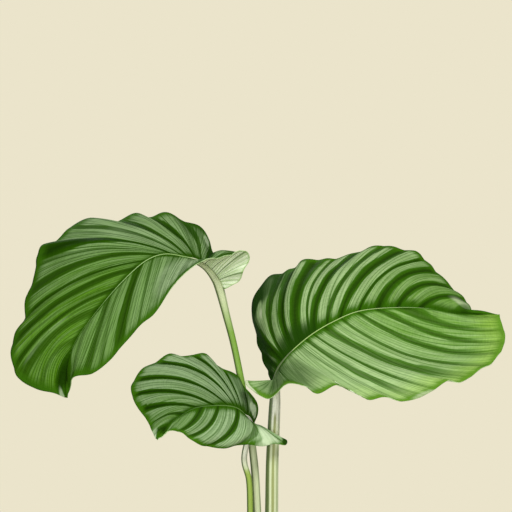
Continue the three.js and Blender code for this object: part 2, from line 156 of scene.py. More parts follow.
class SmoothLine:
    """A smooth line through points, read by share of its length."""

    STEPS = 600

    def __init__(self, points: Sequence[Sequence[float]]) -> None:
        """Measures the line.

        Args:
            points: Points along the line; columns past the third ride along.
        """
        self.points = np.array(points, float)
        self.t = np.linspace(0, 1, self.STEPS + 1)
        places = blend_rows(self.points, self.t)[:, :3]
        run = np.concatenate([[0], np.cumsum(np.linalg.norm(np.diff(places, axis=0), axis=1))])
        self.length = float(run[-1])
        self.shares = run / self.length

    def at(self, share: np.ndarray) -> np.ndarray:
        """Reads the line's rows at shares of its length."""
        return blend_rows(self.points, np.interp(np.clip(share, 0, 1), self.shares, self.t))


# Shaders

Feed = Union["Value", float, Sequence[float]]


class Value:
    """An output socket that sums can be written with."""

    def __init__(self, nodes: "Nodes", socket: bpy.types.NodeSocket) -> None:
        """Wraps a socket.

        Args:
            nodes: The node tree that the socket is in.
            socket: The output socket.
        """
        self.nodes = nodes
        self.socket = socket

    def math(self, operation: str, *others: Feed) -> "Value":
        """Adds a Math node on this value.

        Args:
            operation: The Math node's operation.
            others: The other values it takes.

        Returns:
            The node's result.
        """
        inputs = dict(enumerate((self, *others)))
        return self.nodes.add("ShaderNodeMath", {"operation": operation}, inputs)

    def __add__(self, other: Feed) -> "Value":
        """Adds."""
        return self.math("ADD", other)

    __radd__ = __add__

    def __mul__(self, other: Feed) -> "Value":
        """Multiplies."""
        return self.math("MULTIPLY", other)

    __rmul__ = __mul__

    def __sub__(self, other: Feed) -> "Value":
        """Takes the other away."""
        return self.math("SUBTRACT", other)

    def __rsub__(self, other: Feed) -> "Value":
        """Is taken away from the other."""
        return (self * -1) + other

    def __truediv__(self, other: Feed) -> "Value":
        """Divides."""
        return self.math("DIVIDE", other)

    def __rtruediv__(self, other: Feed) -> "Value":
        """Divides the other."""
        return self.math("POWER", -1.0) * other

    def __abs__(self) -> "Value":
        """Drops the sign."""
        return self.math("ABSOLUTE")

    def larger(self, other: Feed) -> "Value":
        """Takes the larger of the two."""
        return self.math("MAXIMUM", other)

    def swing(self, width: float) -> "Value":
        """Turns a share into a swing about 0, of this width from end to end."""
        return (self - 0.5) * width

    def off_whole(self) -> "Value":
        """Measures how far it is from the nearest whole number."""
        return abs((self + 0.5).math("FRACT") - 0.5)

    def rise(self, low: Feed, high: Feed) -> "Value":
        """Rises smoothly from 0 to 1.

        Args:
            low: Where the rise starts.
            high: Where it ends.

        Returns:
            The risen share.
        """
        settings = {"interpolation_type": "SMOOTHSTEP"}
        return self.nodes.add("ShaderNodeMapRange", settings, {0: self, 1: low, 2: high})

    def fall(self, low: Feed, high: Feed) -> "Value":
        """Falls smoothly from 1 at low to 0 at high."""
        return 1 - self.rise(low, high)


class Nodes:
    """A node tree, whose nodes all come from one method."""

    def __init__(self, tree: bpy.types.NodeTree) -> None:
        """Wraps a tree.

        Args:
            tree: A material's or the world's node tree.
        """
        self.tree = tree

    def add(self, kind: str, settings: Optional[dict] = None, inputs: Optional[dict] = None,
            output: Union[int, str] = 0) -> Value:
        """Adds a node.

        Args:
            kind: The node's type.
            settings: Its settings; "stops" gives a ramp's places and colours.
            inputs: Values or links for its sockets, by name or number.
            output: The output socket to return.

        Returns:
            The chosen output.
        """
        made = self.tree.nodes.new(kind)
        for name, setting in (settings or {}).items():
            if name == "stops":
                self._fill_ramp(made.color_ramp, setting)
            else:
                setattr(made, name, setting)
        self.feed(made, inputs or {})
        return Value(self, made.outputs[output])

    def feed(self, node: bpy.types.Node, inputs: dict) -> None:
        """Links values to a node's sockets, or sets them.

        Args:
            node: The node.
            inputs: Values, numbers or rows of numbers, by the socket's name or number.
        """
        for key, given in inputs.items():
            if isinstance(given, Value):
                self.tree.links.new(given.socket, node.inputs[key])
            else:
                node.inputs[key].default_value = given

    @staticmethod
    def _fill_ramp(ramp: bpy.types.ColorRamp, stops: Sequence[tuple[float, Colour]]) -> None:
        """Gives a ramp its stops.

        Args:
            ramp: The ramp.
            stops: Places from 0 to 1 in order, each with a colour.
        """
        while len(ramp.elements) < len(stops):
            ramp.elements.new(1.0)
        for element, (place, colour) in zip(ramp.elements, stops):
            element.position = place
            element.color = colour


class Shader(Nodes):
    """Builds one material's nodes."""

    # The Mix node keeps a pair of sockets for each kind of value; these are its colours.
    MIX_SHARE, MIX_FIRST, MIX_SECOND, MIX_RESULT = 0, 6, 7, 2

    def __init__(self, name: str) -> None:
        """Starts a material with an empty Principled shader.

        Args:
            name: The material's name.
        """
        self.material = bpy.data.materials.new(name)
        self.material.use_nodes = True
        super().__init__(self.material.node_tree)
        self.surface = self.tree.nodes["Principled BSDF"]

    def mix(self, share: Feed, first: Feed, second: Feed) -> Value:
        """Mixes two colours.

        Args:
            share: The second colour's share.
            first: The first colour.
            second: The second colour.

        Returns:
            The mixed colour.
        """
        inputs = {self.MIX_SHARE: share, self.MIX_FIRST: first, self.MIX_SECOND: second}
        return self.add("ShaderNodeMix", {"data_type": "RGBA"}, inputs, self.MIX_RESULT)

    def shade(self, colour: Value, light: Feed) -> Value:
        """Multiplies a colour's lightness."""
        return self.add("ShaderNodeVectorMath", {"operation": "SCALE"}, {0: colour, "Scale": light})

    def measure(self, name: str) -> Value:
        """Reads a number kept on the mesh."""
        return self.add("ShaderNodeAttribute", {"attribute_name": name}, output="Fac")

    def object_place(self) -> Value:
        """Reads the point's own coordinates, in metres."""
        return self.add("ShaderNodeTexCoord", output="Object")

    def height(self, place: Value) -> Value:
        """Reads a place's height."""
        return self.add("ShaderNodeSeparateXYZ", inputs={0: place}, output="Z")

    def vector(self, x: Feed, y: Feed, z: Feed = 0.0) -> Value:
        """Joins three numbers."""
        return self.add("ShaderNodeCombineXYZ", inputs={0: x, 1: y, 2: z})

    def cloud(self, place: Value, scale: float, detail: float = 2.0, rough: float = 0.5) -> Value:
        """Adds soft noise.

        Args:
            place: Where it is read.
            scale: Its lumps in each unit of place.
            detail: Its octaves.
            rough: How strong the finer octaves are.

        Returns:
            The noise, 0 to 1.
        """
        inputs = {"Vector": place, "Scale": scale, "Detail": detail, "Roughness": rough}
        return self.add("ShaderNodeTexNoise", None, inputs)

    def chance(self, number: Feed) -> Value:
        """Gives each number its own share from 0 to 1."""
        return self.add("ShaderNodeTexWhiteNoise", {"noise_dimensions": "1D"}, {"W": number})

    def relief(self, height: Value, depth_mm: float) -> Value:
        """Turns a height, whose 1 is this deep, into a bumped normal."""
        inputs = {"Height": height, "Distance": depth_mm * MM, "Strength": 1.0}
        return self.add("ShaderNodeBump", None, inputs)

    def finish(self, **feeds: Feed) -> bpy.types.Material:
        """Feeds the surface and gives the material.

        Args:
            feeds: Values for its sockets, with _ for a space in the socket's name.

        Returns:
            The material.
        """
        self.feed(self.surface, {name.replace("_", " "): given for name, given in feeds.items()})
        return self.material


# The blades' plans: midrib and rim run from the base to the tip. Each side vein gives
# its end as a share of the rim, its start as a share of the midrib, and its bow along
# x, y and z. Each dark stripe gives the vein count of its middle towards the midrib and
# towards the rim, its half width in veins and how dark it is. A zone is a patch round a
# vein count and a reach, the share of the way to the rim. It gives each of the two with
# its half size, and then its strength: 1 is pale, partly the leaf's own pale colour and
# partly a painted highlight on folds and lobes; -1 is painted shade, dark green in the
# folds and round the base lobes.

@dataclass(frozen=True)
class HalfPlan:
    """One half of a blade: its rim, side veins, dark stripes and patches."""

    rim: tuple[Point, ...]
    veins: tuple[tuple[float, float, float, float, float], ...]
    stripes: tuple[tuple[float, float, float, float], ...]
    zones: tuple[tuple[float, float, float, float, float], ...] = ()


@dataclass(frozen=True)
class BladePlan:
    """One blade: where it points, its midrib and its two halves."""

    heading: Heading
    midrib: tuple[Point, ...]
    far: HalfPlan
    near: HalfPlan


LEFT_BLADE = BladePlan(
    heading=Heading.LEFT,
    midrib=(
        (-29, 0, 392), (-36, -1, 404), (-46.5, -4, 413), (-61, -10, 417), (-77.5, -18, 419),
        (-93.5, -27, 412.5), (-112.5, -38, 394.5), (-129.5, -46, 374), (-144.5, -51, 353.5),
        (-153, -53, 335.5), (-155.5, -51, 317.5), (-156, -48, 301),
    ),
    far=HalfPlan(
        rim=(
            (-26.5, 5, 395.5), (-16.5, 22, 405.5), (-13, 34, 417.5), (-24.5, 38, 420.5),
            (-36.5, 40, 419.5), (-42, 42, 431.5), (-50.5, 44, 443), (-65, 46, 448.5), (-79.5, 46, 454.5),
            (-92.5, 42, 451), (-105.5, 40, 453.5), (-124, 33, 446.5), (-144.5, 26, 449), (-161, 18, 441),
            (-170.5, 12, 429), (-183, 4, 425.5), (-186, -4, 411), (-187.5, -12, 394), (-192.5, -19, 383),
            (-193, -27, 363.5), (-200, -34, 351), (-201.5, -43, 336), (-195.5, -50, 318),
            (-180.5, -54, 309), (-166.5, -54, 305.5), (-158, -49, 301.5),
        ),
        veins=(
            (0, 0, 0, 0, 0), (0.05, 0.05, 0, 4, 3), (0.11, 0.095, -1, 4, 4),
            (0.188, 0.129, -1.2, 3.4, 2.6), (0.249, 0.142, 0.2, 0.1, 0.5), (0.288, 0.151, 0.8, -2, 0.5),
            (0.331, 0.16, 1.7, -4.2, 2.1), (0.399, 0.18, 2.4, -7.6, 4.8), (0.518, 0.213, 1.8, -11.6, 7),
            (0.562, 0.246, 0.6, -12.2, 8), (0.643, 0.274, -1, -11.8, 9.2),
            (0.695, 0.303, -2.8, -10.9, 10.4), (0.749, 0.343, -4, -9.6, 9.9),
            (0.786, 0.391, -4.2, -8.4, 8.1), (0.84, 0.465, -4.8, -6.2, 7),
            (0.895, 0.571, -6.8, -4.1, 7.3), (0.94, 0.664, -8.8, -2.4, 6.9),
            (0.964, 0.753, -8.1, -1.4, 4.8), (0.985, 0.808, -4.6, -0.6, 2), (1, 1, 0, 0, 0),
        ),
        stripes=(
            (0.9, 0.9, 0.23, 0.7), (1.9, 1.8, 0.16, 0.8), (2.4, 2.54, 0.21, 1), (3.4, 3.88, 0.23, 0.8),
            (4.48, 4.48, 0.17, 0.3), (5.5, 5.94, 0.32, 0.95), (7.08, 7.08, 0.14, 0.9),
            (7.8, 7.9, 0.1, 0.8), (8.3, 8.42, 0.09, 0.3), (9.18, 9.48, 0.3, 1), (9.98, 9.98, 0.09, 0.6),
            (11.06, 11.18, 0.37, 0.85), (11.88, 11.82, 0.08, 0.3), (12.44, 12.32, 0.17, 0.9),
            (13.48, 13.62, 0.28, 0.85), (14.3, 14.2, 0.08, 0.3), (14.62, 14.62, 0.15, 0.85),
            (15.54, 15.3, 0.29, 0.7), (17, 16.68, 0.23, 0.45), (18.45, 18.36, 0.57, 1),
        ),
        zones=(
            (19, 0.9, 1, 0.45, 0.7), (3.4, 1.9, 0.9, 0.45, -0.5), (15, 0.22, 0.6, 0.38, 0.24),
            (8.1, 1.2, 0.4, 0.42, 0.22), (3.05, 0.3, 0.8, 0.18, 0.95),
        ),
    ),
    near=HalfPlan(
        rim=(
            (-26.5, -3, 389.5), (-19.5, -8, 393.5), (-13.5, -11, 397.5), (-10, -16, 406.5),
            (-5.5, -20, 415), (-8.5, -25, 421.5), (-16.5, -31, 420), (-26.5, -37, 416),
            (-37, -42, 415.5), (-44.5, -45, 412.5), (-53.5, -48, 406), (-65.5, -51, 394),
            (-82.5, -56, 371), (-94, -59, 361.5), (-109, -63, 344.5), (-119.5, -65, 332),
            (-132.5, -65, 322), (-147, -61, 319), (-152, -54, 309.5), (-155, -48.5, 301),
        ),
        veins=(
            (0, 0, 0, 0, 0), (0.097, 0.026, -0.3, -1.3, 0.8), (0.187, 0.046, -0.6, -2.1, 1),
            (0.242, 0.076, -0.6, -2, 1), (0.302, 0.11, -0.4, -1.9, 0.8), (0.357, 0.141, -0.3, -3.2, 0.3),
            (0.461, 0.168, -1, -6, 0.4), (0.553, 0.22, -1.3, -8.3, 0.5), (0.614, 0.283, 0, -9, 0.1),
            (0.667, 0.332, -0.1, -9.1, 0.1), (0.749, 0.385, -1.6, -8.4, 0.4),
            (0.851, 0.479, -0.6, -5.9, 0.1), (0.896, 0.557, 0.5, -4.8, -0.2),
            (0.917, 0.642, -0.4, -4.2, 0.1), (0.94, 0.72, -1, -3.2, 0.2), (1, 1, 0, 0, 0),
        ),
        stripes=(
            (1, 1, 0.24, 0.6), (2, 2, 0.24, 0.6), (3, 3, 0.24, 0.6), (3.9, 3.9, 0.24, 0.6),
            (4.65, 4.8, 0.24, 0.47), (5.96, 5.8, 0.24, 0.39), (6.74, 6.5, 0.12, 0.21),
            (7.35, 7.55, 0.42, 0.39), (8.1, 7.95, 0.12, 0.17), (8.92, 8.8, 0.14, 0.6),
            (10.1, 10, 0.32, 0.86), (11.04, 10.82, 0.12, 0.43), (11.98, 11.68, 0.32, 0.69),
            (13.75, 14, 0.3, 0.3), (14.7, 14.6, 0.42, 0.86),
        ),
        zones=((6.4, 2.2, 0.45, 0.5, 0.3),),
    ),
)

RIGHT_BLADE = BladePlan(
    heading=Heading.RIGHT,
    midrib=(
        (14.5, 0, 309.5), (17, -3, 318.5), (23.5, -6, 329.5), (34, -8, 340.5), (47.5, -8, 351.5),
        (64.5, -6, 361.5), (86.5, -2, 370.5), (114, 2, 373.5), (144, 6, 373), (170, 8, 369),
        (189.5, 8, 367.5), (207.5, 6, 367.5),
    ),
    far=HalfPlan(
        rim=(
            (13, 6, 311), (11, 18, 318), (5.5, 32, 331.5), (1, 46, 347.5), (-2.5, 57, 363),
            (-2, 64, 377), (5.5, 67, 390), (13.5, 67, 399.5), (24, 62, 402), (34.5, 54, 407),
            (44, 47, 413.5), (60.5, 46, 414), (77, 48, 416), (94, 50, 422), (110.5, 51, 426),
            (126.5, 50, 423), (140.5, 48, 420), (152, 44, 409), (167, 37, 392.5), (180, 28, 380.5),
            (183, 22, 374.5), (189, 15, 368), (206.5, 7.5, 366.5),
        ),
        veins=(
            (0, 0, 0, 0, 0), (0.087, 0.043, 0.7, 1.8, 0.6), (0.162, 0.075, -1, -2.6, 0),
            (0.281, 0.104, -6, -10.8, -1.6), (0.345, 0.129, -9.9, -13.2, -1.4),
            (0.409, 0.156, -10.7, -14.4, 0.1), (0.453, 0.193, -10.7, -14.9, 1.8),
            (0.522, 0.247, -11.8, -15.1, 4.2), (0.587, 0.292, -10.9, -14.5, 5.5),
            (0.638, 0.354, -8.2, -13.5, 5.7), (0.705, 0.409, -7.3, -11.7, 6.8),
            (0.736, 0.458, -7.4, -10.9, 8.5), (0.77, 0.509, -7, -10, 9.6),
            (0.807, 0.572, -5.7, -9.1, 10.5), (0.86, 0.635, -3.5, -7.4, 10),
            (0.903, 0.721, -1.4, -5.1, 6.2), (1, 1, 0, 0, 0),
        ),
        stripes=(
            (0.5, 0.5, 0.29, 0.84), (1.5, 1.3, 0.35, 0.84), (2.6, 2.2, 0.47, 0.93),
            (3.72, 4.1, 0.28, 0.88), (4.56, 4.52, 0.08, 0.37), (5.02, 4.96, 0.35, 0.93),
            (6.14, 6.26, 0.39, 0.93), (6.92, 6.92, 0.09, 0.84), (7.52, 7.78, 0.33, 0.93),
            (8.3, 8.4, 0.08, 0.23), (8.6, 8.9, 0.18, 0.84), (9.48, 9.68, 0.31, 0.93),
            (11.02, 11.24, 0.21, 0.93), (11.8, 11.84, 0.08, 0.19), (12.38, 12.5, 0.41, 0.93),
            (13.15, 13.18, 0.08, 0.23), (13.62, 13.8, 0.28, 0.93), (14.36, 14.36, 0.09, 0.23),
            (14.85, 14.92, 0.17, 0.93), (15.5, 15.4, 0.14, 0.74),
        ),
        zones=(
            (15.4, 0.7, 0.75, 0.3, 0.4), (1, 2.4, 0.75, 0.8, -0.8), (3.6, 1.1, 0.92, 0.25, -0.7),
            (3.15, 0.28, 0.68, 0.14, 0.8), (5.2, 3.2, 0, 0.26, -0.75),
        ),
    ),
    near=HalfPlan(
        rim=(
            (12.5, -4, 309), (5, -10, 309), (-3.5, -16, 310), (-9, -20, 312.5), (-8, -25, 309),
            (-2.5, -28, 304.5), (4, -30, 300), (11, -32, 298), (18, -35, 302.5), (26.5, -38, 310.5),
            (38, -43, 309.5), (51, -48, 304), (67, -53, 312), (78.5, -58, 306.5), (91.5, -60, 300),
            (104.5, -62, 302.5), (119, -62, 299), (138, -58, 303.5), (156, -53, 314), (167, -49, 312.5),
            (182.5, -41, 321), (196.5, -30, 328), (206.5, -19, 338.5), (210.5, -9, 350), (208, 1, 362.5),
            (208, 5.5, 367.5),
        ),
        veins=(
            (0, 0, 0, 0, 0), (0.065, 0.01, 0.5, -1, -0.4), (0.134, 0.021, 1, -1.7, -0.9),
            (0.234, 0.057, 0.6, -4.1, -0.4), (0.26, 0.074, -0.8, -4.8, -0.9),
            (0.339, 0.123, -1.8, -6.9, -2), (0.441, 0.167, -1.7, -8.8, -2.3),
            (0.548, 0.205, -1.8, -9, -3.2), (0.631, 0.245, -2.4, -8.9, -5.1),
            (0.686, 0.281, -2.7, -8.1, -6.6), (0.75, 0.335, -3.3, -7.3, -9.4),
            (0.843, 0.387, -3.8, -5.1, -13.3), (0.894, 0.434, -3.2, -3.8, -13.3),
            (0.927, 0.481, -2, -2.9, -9.9), (0.964, 0.583, -1, -1.5, -5.9), (1, 1, 0, 0, 0),
        ),
        stripes=(
            (0.72, 0.5, 0.29, 0.53), (1.78, 1.9, 0.22, 0.46), (2.35, 2.4, 0.18, 0.38),
            (3.8, 3.8, 0.61, 0.38), (4.6, 4.8, 0.13, 0.3), (5.28, 5.5, 0.22, 0.27),
            (6.3, 6.35, 0.08, 0.19), (6.64, 6.88, 0.13, 0.34), (7.44, 7.52, 0.2, 0.72),
            (8.24, 8.22, 0.13, 0.76), (8.8, 8.8, 0.09, 0.15), (9.62, 9.92, 0.31, 0.76),
            (10.3, 10.3, 0.08, 0.15), (10.8, 10.78, 0.13, 0.76), (12.12, 11.8, 0.24, 0.76),
            (12.75, 12.6, 0.08, 0.15), (13.36, 12.86, 0.22, 0.76), (14.02, 13.78, 0.17, 0.76),
            (14.7, 14.85, 0.22, 0.68),
        ),
        zones=(
            (1.5, 0.6, 1, 0.1, 0.9), (1.5, 2.2, 0.03, 0.1, 0.5), (7.7, 0.5, 1, 0.06, 0.45),
            (3.6, 2.4, 0.45, 0.6, -0.55),
        ),
    ),
)

SMALL_BLADE = BladePlan(
    heading=Heading.LEFT,
    midrib=(
        (-3.5, -6, 275.5), (-8.5, -10, 282.5), (-15, -15, 289), (-23.5, -22, 292), (-36.5, -32, 293),
        (-50.5, -44, 292), (-62, -56, 286.5), (-72, -68, 279.5), (-80, -78, 270),
    ),
    far=HalfPlan(
        rim=(
            (-1.5, -4, 276), (1, -2, 284.5), (0, -2, 293), (-5, -3, 300.5), (-11, -4, 307.5),
            (-16, -3, 315.5), (-26.5, -2, 321), (-36.5, 0, 326), (-43.5, 2, 333.5), (-51, -2, 334),
            (-63.5, -8, 331.5), (-74, -12, 333.5), (-85, -18, 327.5), (-95, -26, 321.5),
            (-102, -34, 312), (-102.5, -42, 303.5), (-97, -52, 293), (-89, -62, 284),
            (-84.5, -70, 276.5), (-81, -77, 270.5),
        ),
        veins=(
            (0, 0, 0, 0, 0), (0.06, 0.03, -0.3, 0.1, 0.3), (0.144, 0.067, 0.8, -0.5, 0.3),
            (0.242, 0.114, 1.7, -2.2, 0.6), (0.316, 0.148, 2.2, -4.4, 1.4),
            (0.419, 0.182, 3.5, -7.3, 4.2), (0.573, 0.222, 4.5, -9.1, 8.8),
            (0.7, 0.269, 3.2, -8.4, 11.3), (0.78, 0.348, 0.9, -6.9, 10), (0.893, 0.474, -1, -4.5, 7.2),
            (0.949, 0.625, -1.4, -2.4, 3.9), (1, 1, 0, 0, 0),
        ),
        stripes=(
            (1, 0.9, 0.14, 0.4), (2.02, 2.24, 0.16, 0.8), (2.9, 2.9, 0.07, 0.3), (3.42, 3.38, 0.15, 1),
            (4.1, 4.1, 0.07, 0.2), (4.78, 4.88, 0.11, 1), (5.3, 5.3, 0.07, 0.25), (5.68, 5.9, 0.13, 1),
            (6.3, 6.28, 0.07, 0.25), (6.96, 6.98, 0.16, 1), (7.5, 7.5, 0.07, 0.2), (8.24, 8.02, 0.16, 1),
            (8.65, 8.5, 0.07, 0.2), (9.26, 8.84, 0.17, 1), (9.65, 9.5, 0.07, 0.2),
            (10.06, 9.84, 0.1, 0.9), (10.7, 10.65, 0.15, 0.9),
        ),
        zones=((1.2, 0.75, 0.54, 0.27, 0.85), (11, 0.8, 1, 0.4, 0.6), (2.6, 0.8, 0.8, 0.7, -0.5)),
    ),
    near=HalfPlan(
        rim=(
            (-2.5, -6, 273), (7, -10, 268), (17, -12, 264.5), (25.5, -14, 261), (23.5, -16, 258),
            (15, -19, 260), (5, -22, 258.5), (-6, -27, 260.5), (-16, -33, 260.5), (-28, -42, 260),
            (-42, -53, 262), (-53, -63, 268), (-61, -70, 274.5), (-68.5, -75, 275.5), (-75.5, -79, 272),
            (-79.5, -79, 269.5),
        ),
        veins=(
            (0, 0, 0, 0, 0), (0.09, 0.015, 0.1, -1, -0.2), (0.182, 0.03, 0.2, -2, -0.4),
            (0.26, 0.049, 1.5, -3.3, -0.3), (0.341, 0.067, 2.9, -4.5, -0.1),
            (0.48, 0.105, 6.1, -6.1, -1.2), (0.566, 0.148, 7, -5.8, -3), (0.655, 0.201, 6.3, -4.8, -3.8),
            (0.722, 0.287, 5.3, -4.1, -3.8), (0.809, 0.366, 4.2, -2.2, -3.6),
            (0.867, 0.474, 2.9, -1.4, -2.7), (0.908, 0.585, 1.6, -1, -1.4),
            (0.949, 0.71, 0.5, -0.6, -0.5), (1, 1, 0, 0, 0),
        ),
        stripes=(
            (0.9, 0.6, 0.18, 0.46), (2.2, 2.36, 0.22, 0.37), (3.1, 3.1, 0.11, 0.28),
            (4, 4.7, 0.36, 0.64), (5.1, 5.2, 0.08, 0.18), (5.5, 6.06, 0.09, 0.23),
            (6.85, 7.15, 0.33, 0.92), (7.6, 7.65, 0.08, 0.23), (8.02, 8.16, 0.08, 0.37),
            (8.5, 8.52, 0.08, 0.28), (8.93, 9.02, 0.22, 0.92), (9.68, 9.6, 0.08, 0.37),
            (10.3, 10.3, 0.33, 0.92), (11.2, 11.2, 0.08, 0.18), (11.66, 11.94, 0.15, 0.32),
            (12.62, 12.56, 0.29, 0.92),
        ),
        zones=(
            (3.2, 0.9, 0.65, 0.4, 0.6), (2.2, 0.4, 0.97, 0.12, -0.9), (3.9, 0.5, 0.95, 0.2, 0.5),
        ),
    ),
)


# Finishes

@dataclass(frozen=True)
class LeafFinish:
    """One leaf's colours, and how strongly each mark shows on it."""

    silver: Colour = tint(124, 150, 100)
    fresh: Colour = tint(92, 130, 46)
    stripe: Colour = tint(42, 80, 6)
    core: Colour = tint(22, 48, 3)
    border: Colour = tint(54, 98, 10)
    # Painted light: a yellow-green glow near the near half's rim, where light shines through the leaf
    backlit_tint: Colour = tint(134, 168, 62)
    # Pale patches, partly the leaf's own pale colour and partly painted highlights on folds and lobes;
    # then the painted shade of folds and base lobes
    pale_and_highlight: Colour = tint(180, 190, 156)
    shaded: Colour = tint(26, 56, 6)
    back_pale: Colour = tint(213, 225, 195)
    back_green: Colour = tint(122, 160, 76)
    back_line: Colour = tint(80, 110, 48)
    # How strongly each mark shows, as shares, and how wide it is, in millimetres
    backlit_share: float = 0.0
    # Painted shade: the far half's colour is multiplied by this, as less light falls on it
    far_half_painted_light: float = 1.0
    fresh_from: float = 0.5
    fresh_most: float = 0.7
    near_silver: float = 0.0
    line_strength: float = 0.75
    thread_share: float = 0.35
    border_mm: float = 7.0
    # Width of the dark strip along the midrib: partly the leaf's own green, partly painted shade in the
    # midrib's valley
    spine_shade_far_mm: float = 9.0
    spine_shade_near_mm: float = 6.0
    rim_fade: float = 0.0
    roughness: float = 0.42
    back_roughness: float = 0.58
    gloss: float = 0.003


class LeafFace(Shader):
    """The shader of one face of a leaf, which reads the marks kept on its mesh."""

    FINE_VEIN_MM = (0.1, 0.65)
    # Multiples of these mix the bands up, so that their fine veins seem to come by chance.
    COUNT_STEP, STRENGTH_STEP = 0.618, 7.3

    def __init__(self, name: str, leaf: LeafFinish) -> None:
        """Reads the marks that both faces need.

        Args:
            name: The material's name.
            leaf: The leaf's colours and weights.
        """
        super().__init__(name)
        self.leaf = leaf
        self.vein = self.measure("vein")
        self.edge_mm = self.measure("edge_mm")

    def streaks(self, across: float, outward: float, detail: float) -> Value:
        """Adds noise that is drawn out along the side veins.

        Args:
            across: Its lumps from one side vein to the next.
            outward: Its lumps in each millimetre towards the rim.
            detail: Its octaves.

        Returns:
            The noise, 0 to 1.
        """
        return self.cloud(self.vector(self.vein * across, self.edge_mm * outward), 1.0, detail)

    def fine_veins(self) -> Value:
        """Draws a fine vein on each side vein, and two or four between it and the next.

        Returns:
            1 on a fine vein, fading to 0 beside it.
        """
        band = self.vein.math("FLOOR")
        has_more = (band * self.COUNT_STEP + 0.3).math("FRACT").math("GREATER_THAN", 0.5)
        count = 3 + has_more * 2
        place = self.vein.math("FRACT") * count
        off_mm = place.off_whole() * self.measure("band_mm") / count
        nearest = (place + 0.5).math("FLOOR")
        strength = 0.45 + 0.55 * self.chance(nearest + band * self.STRENGTH_STEP)
        return off_mm.fall(*self.FINE_VEIN_MM) * strength


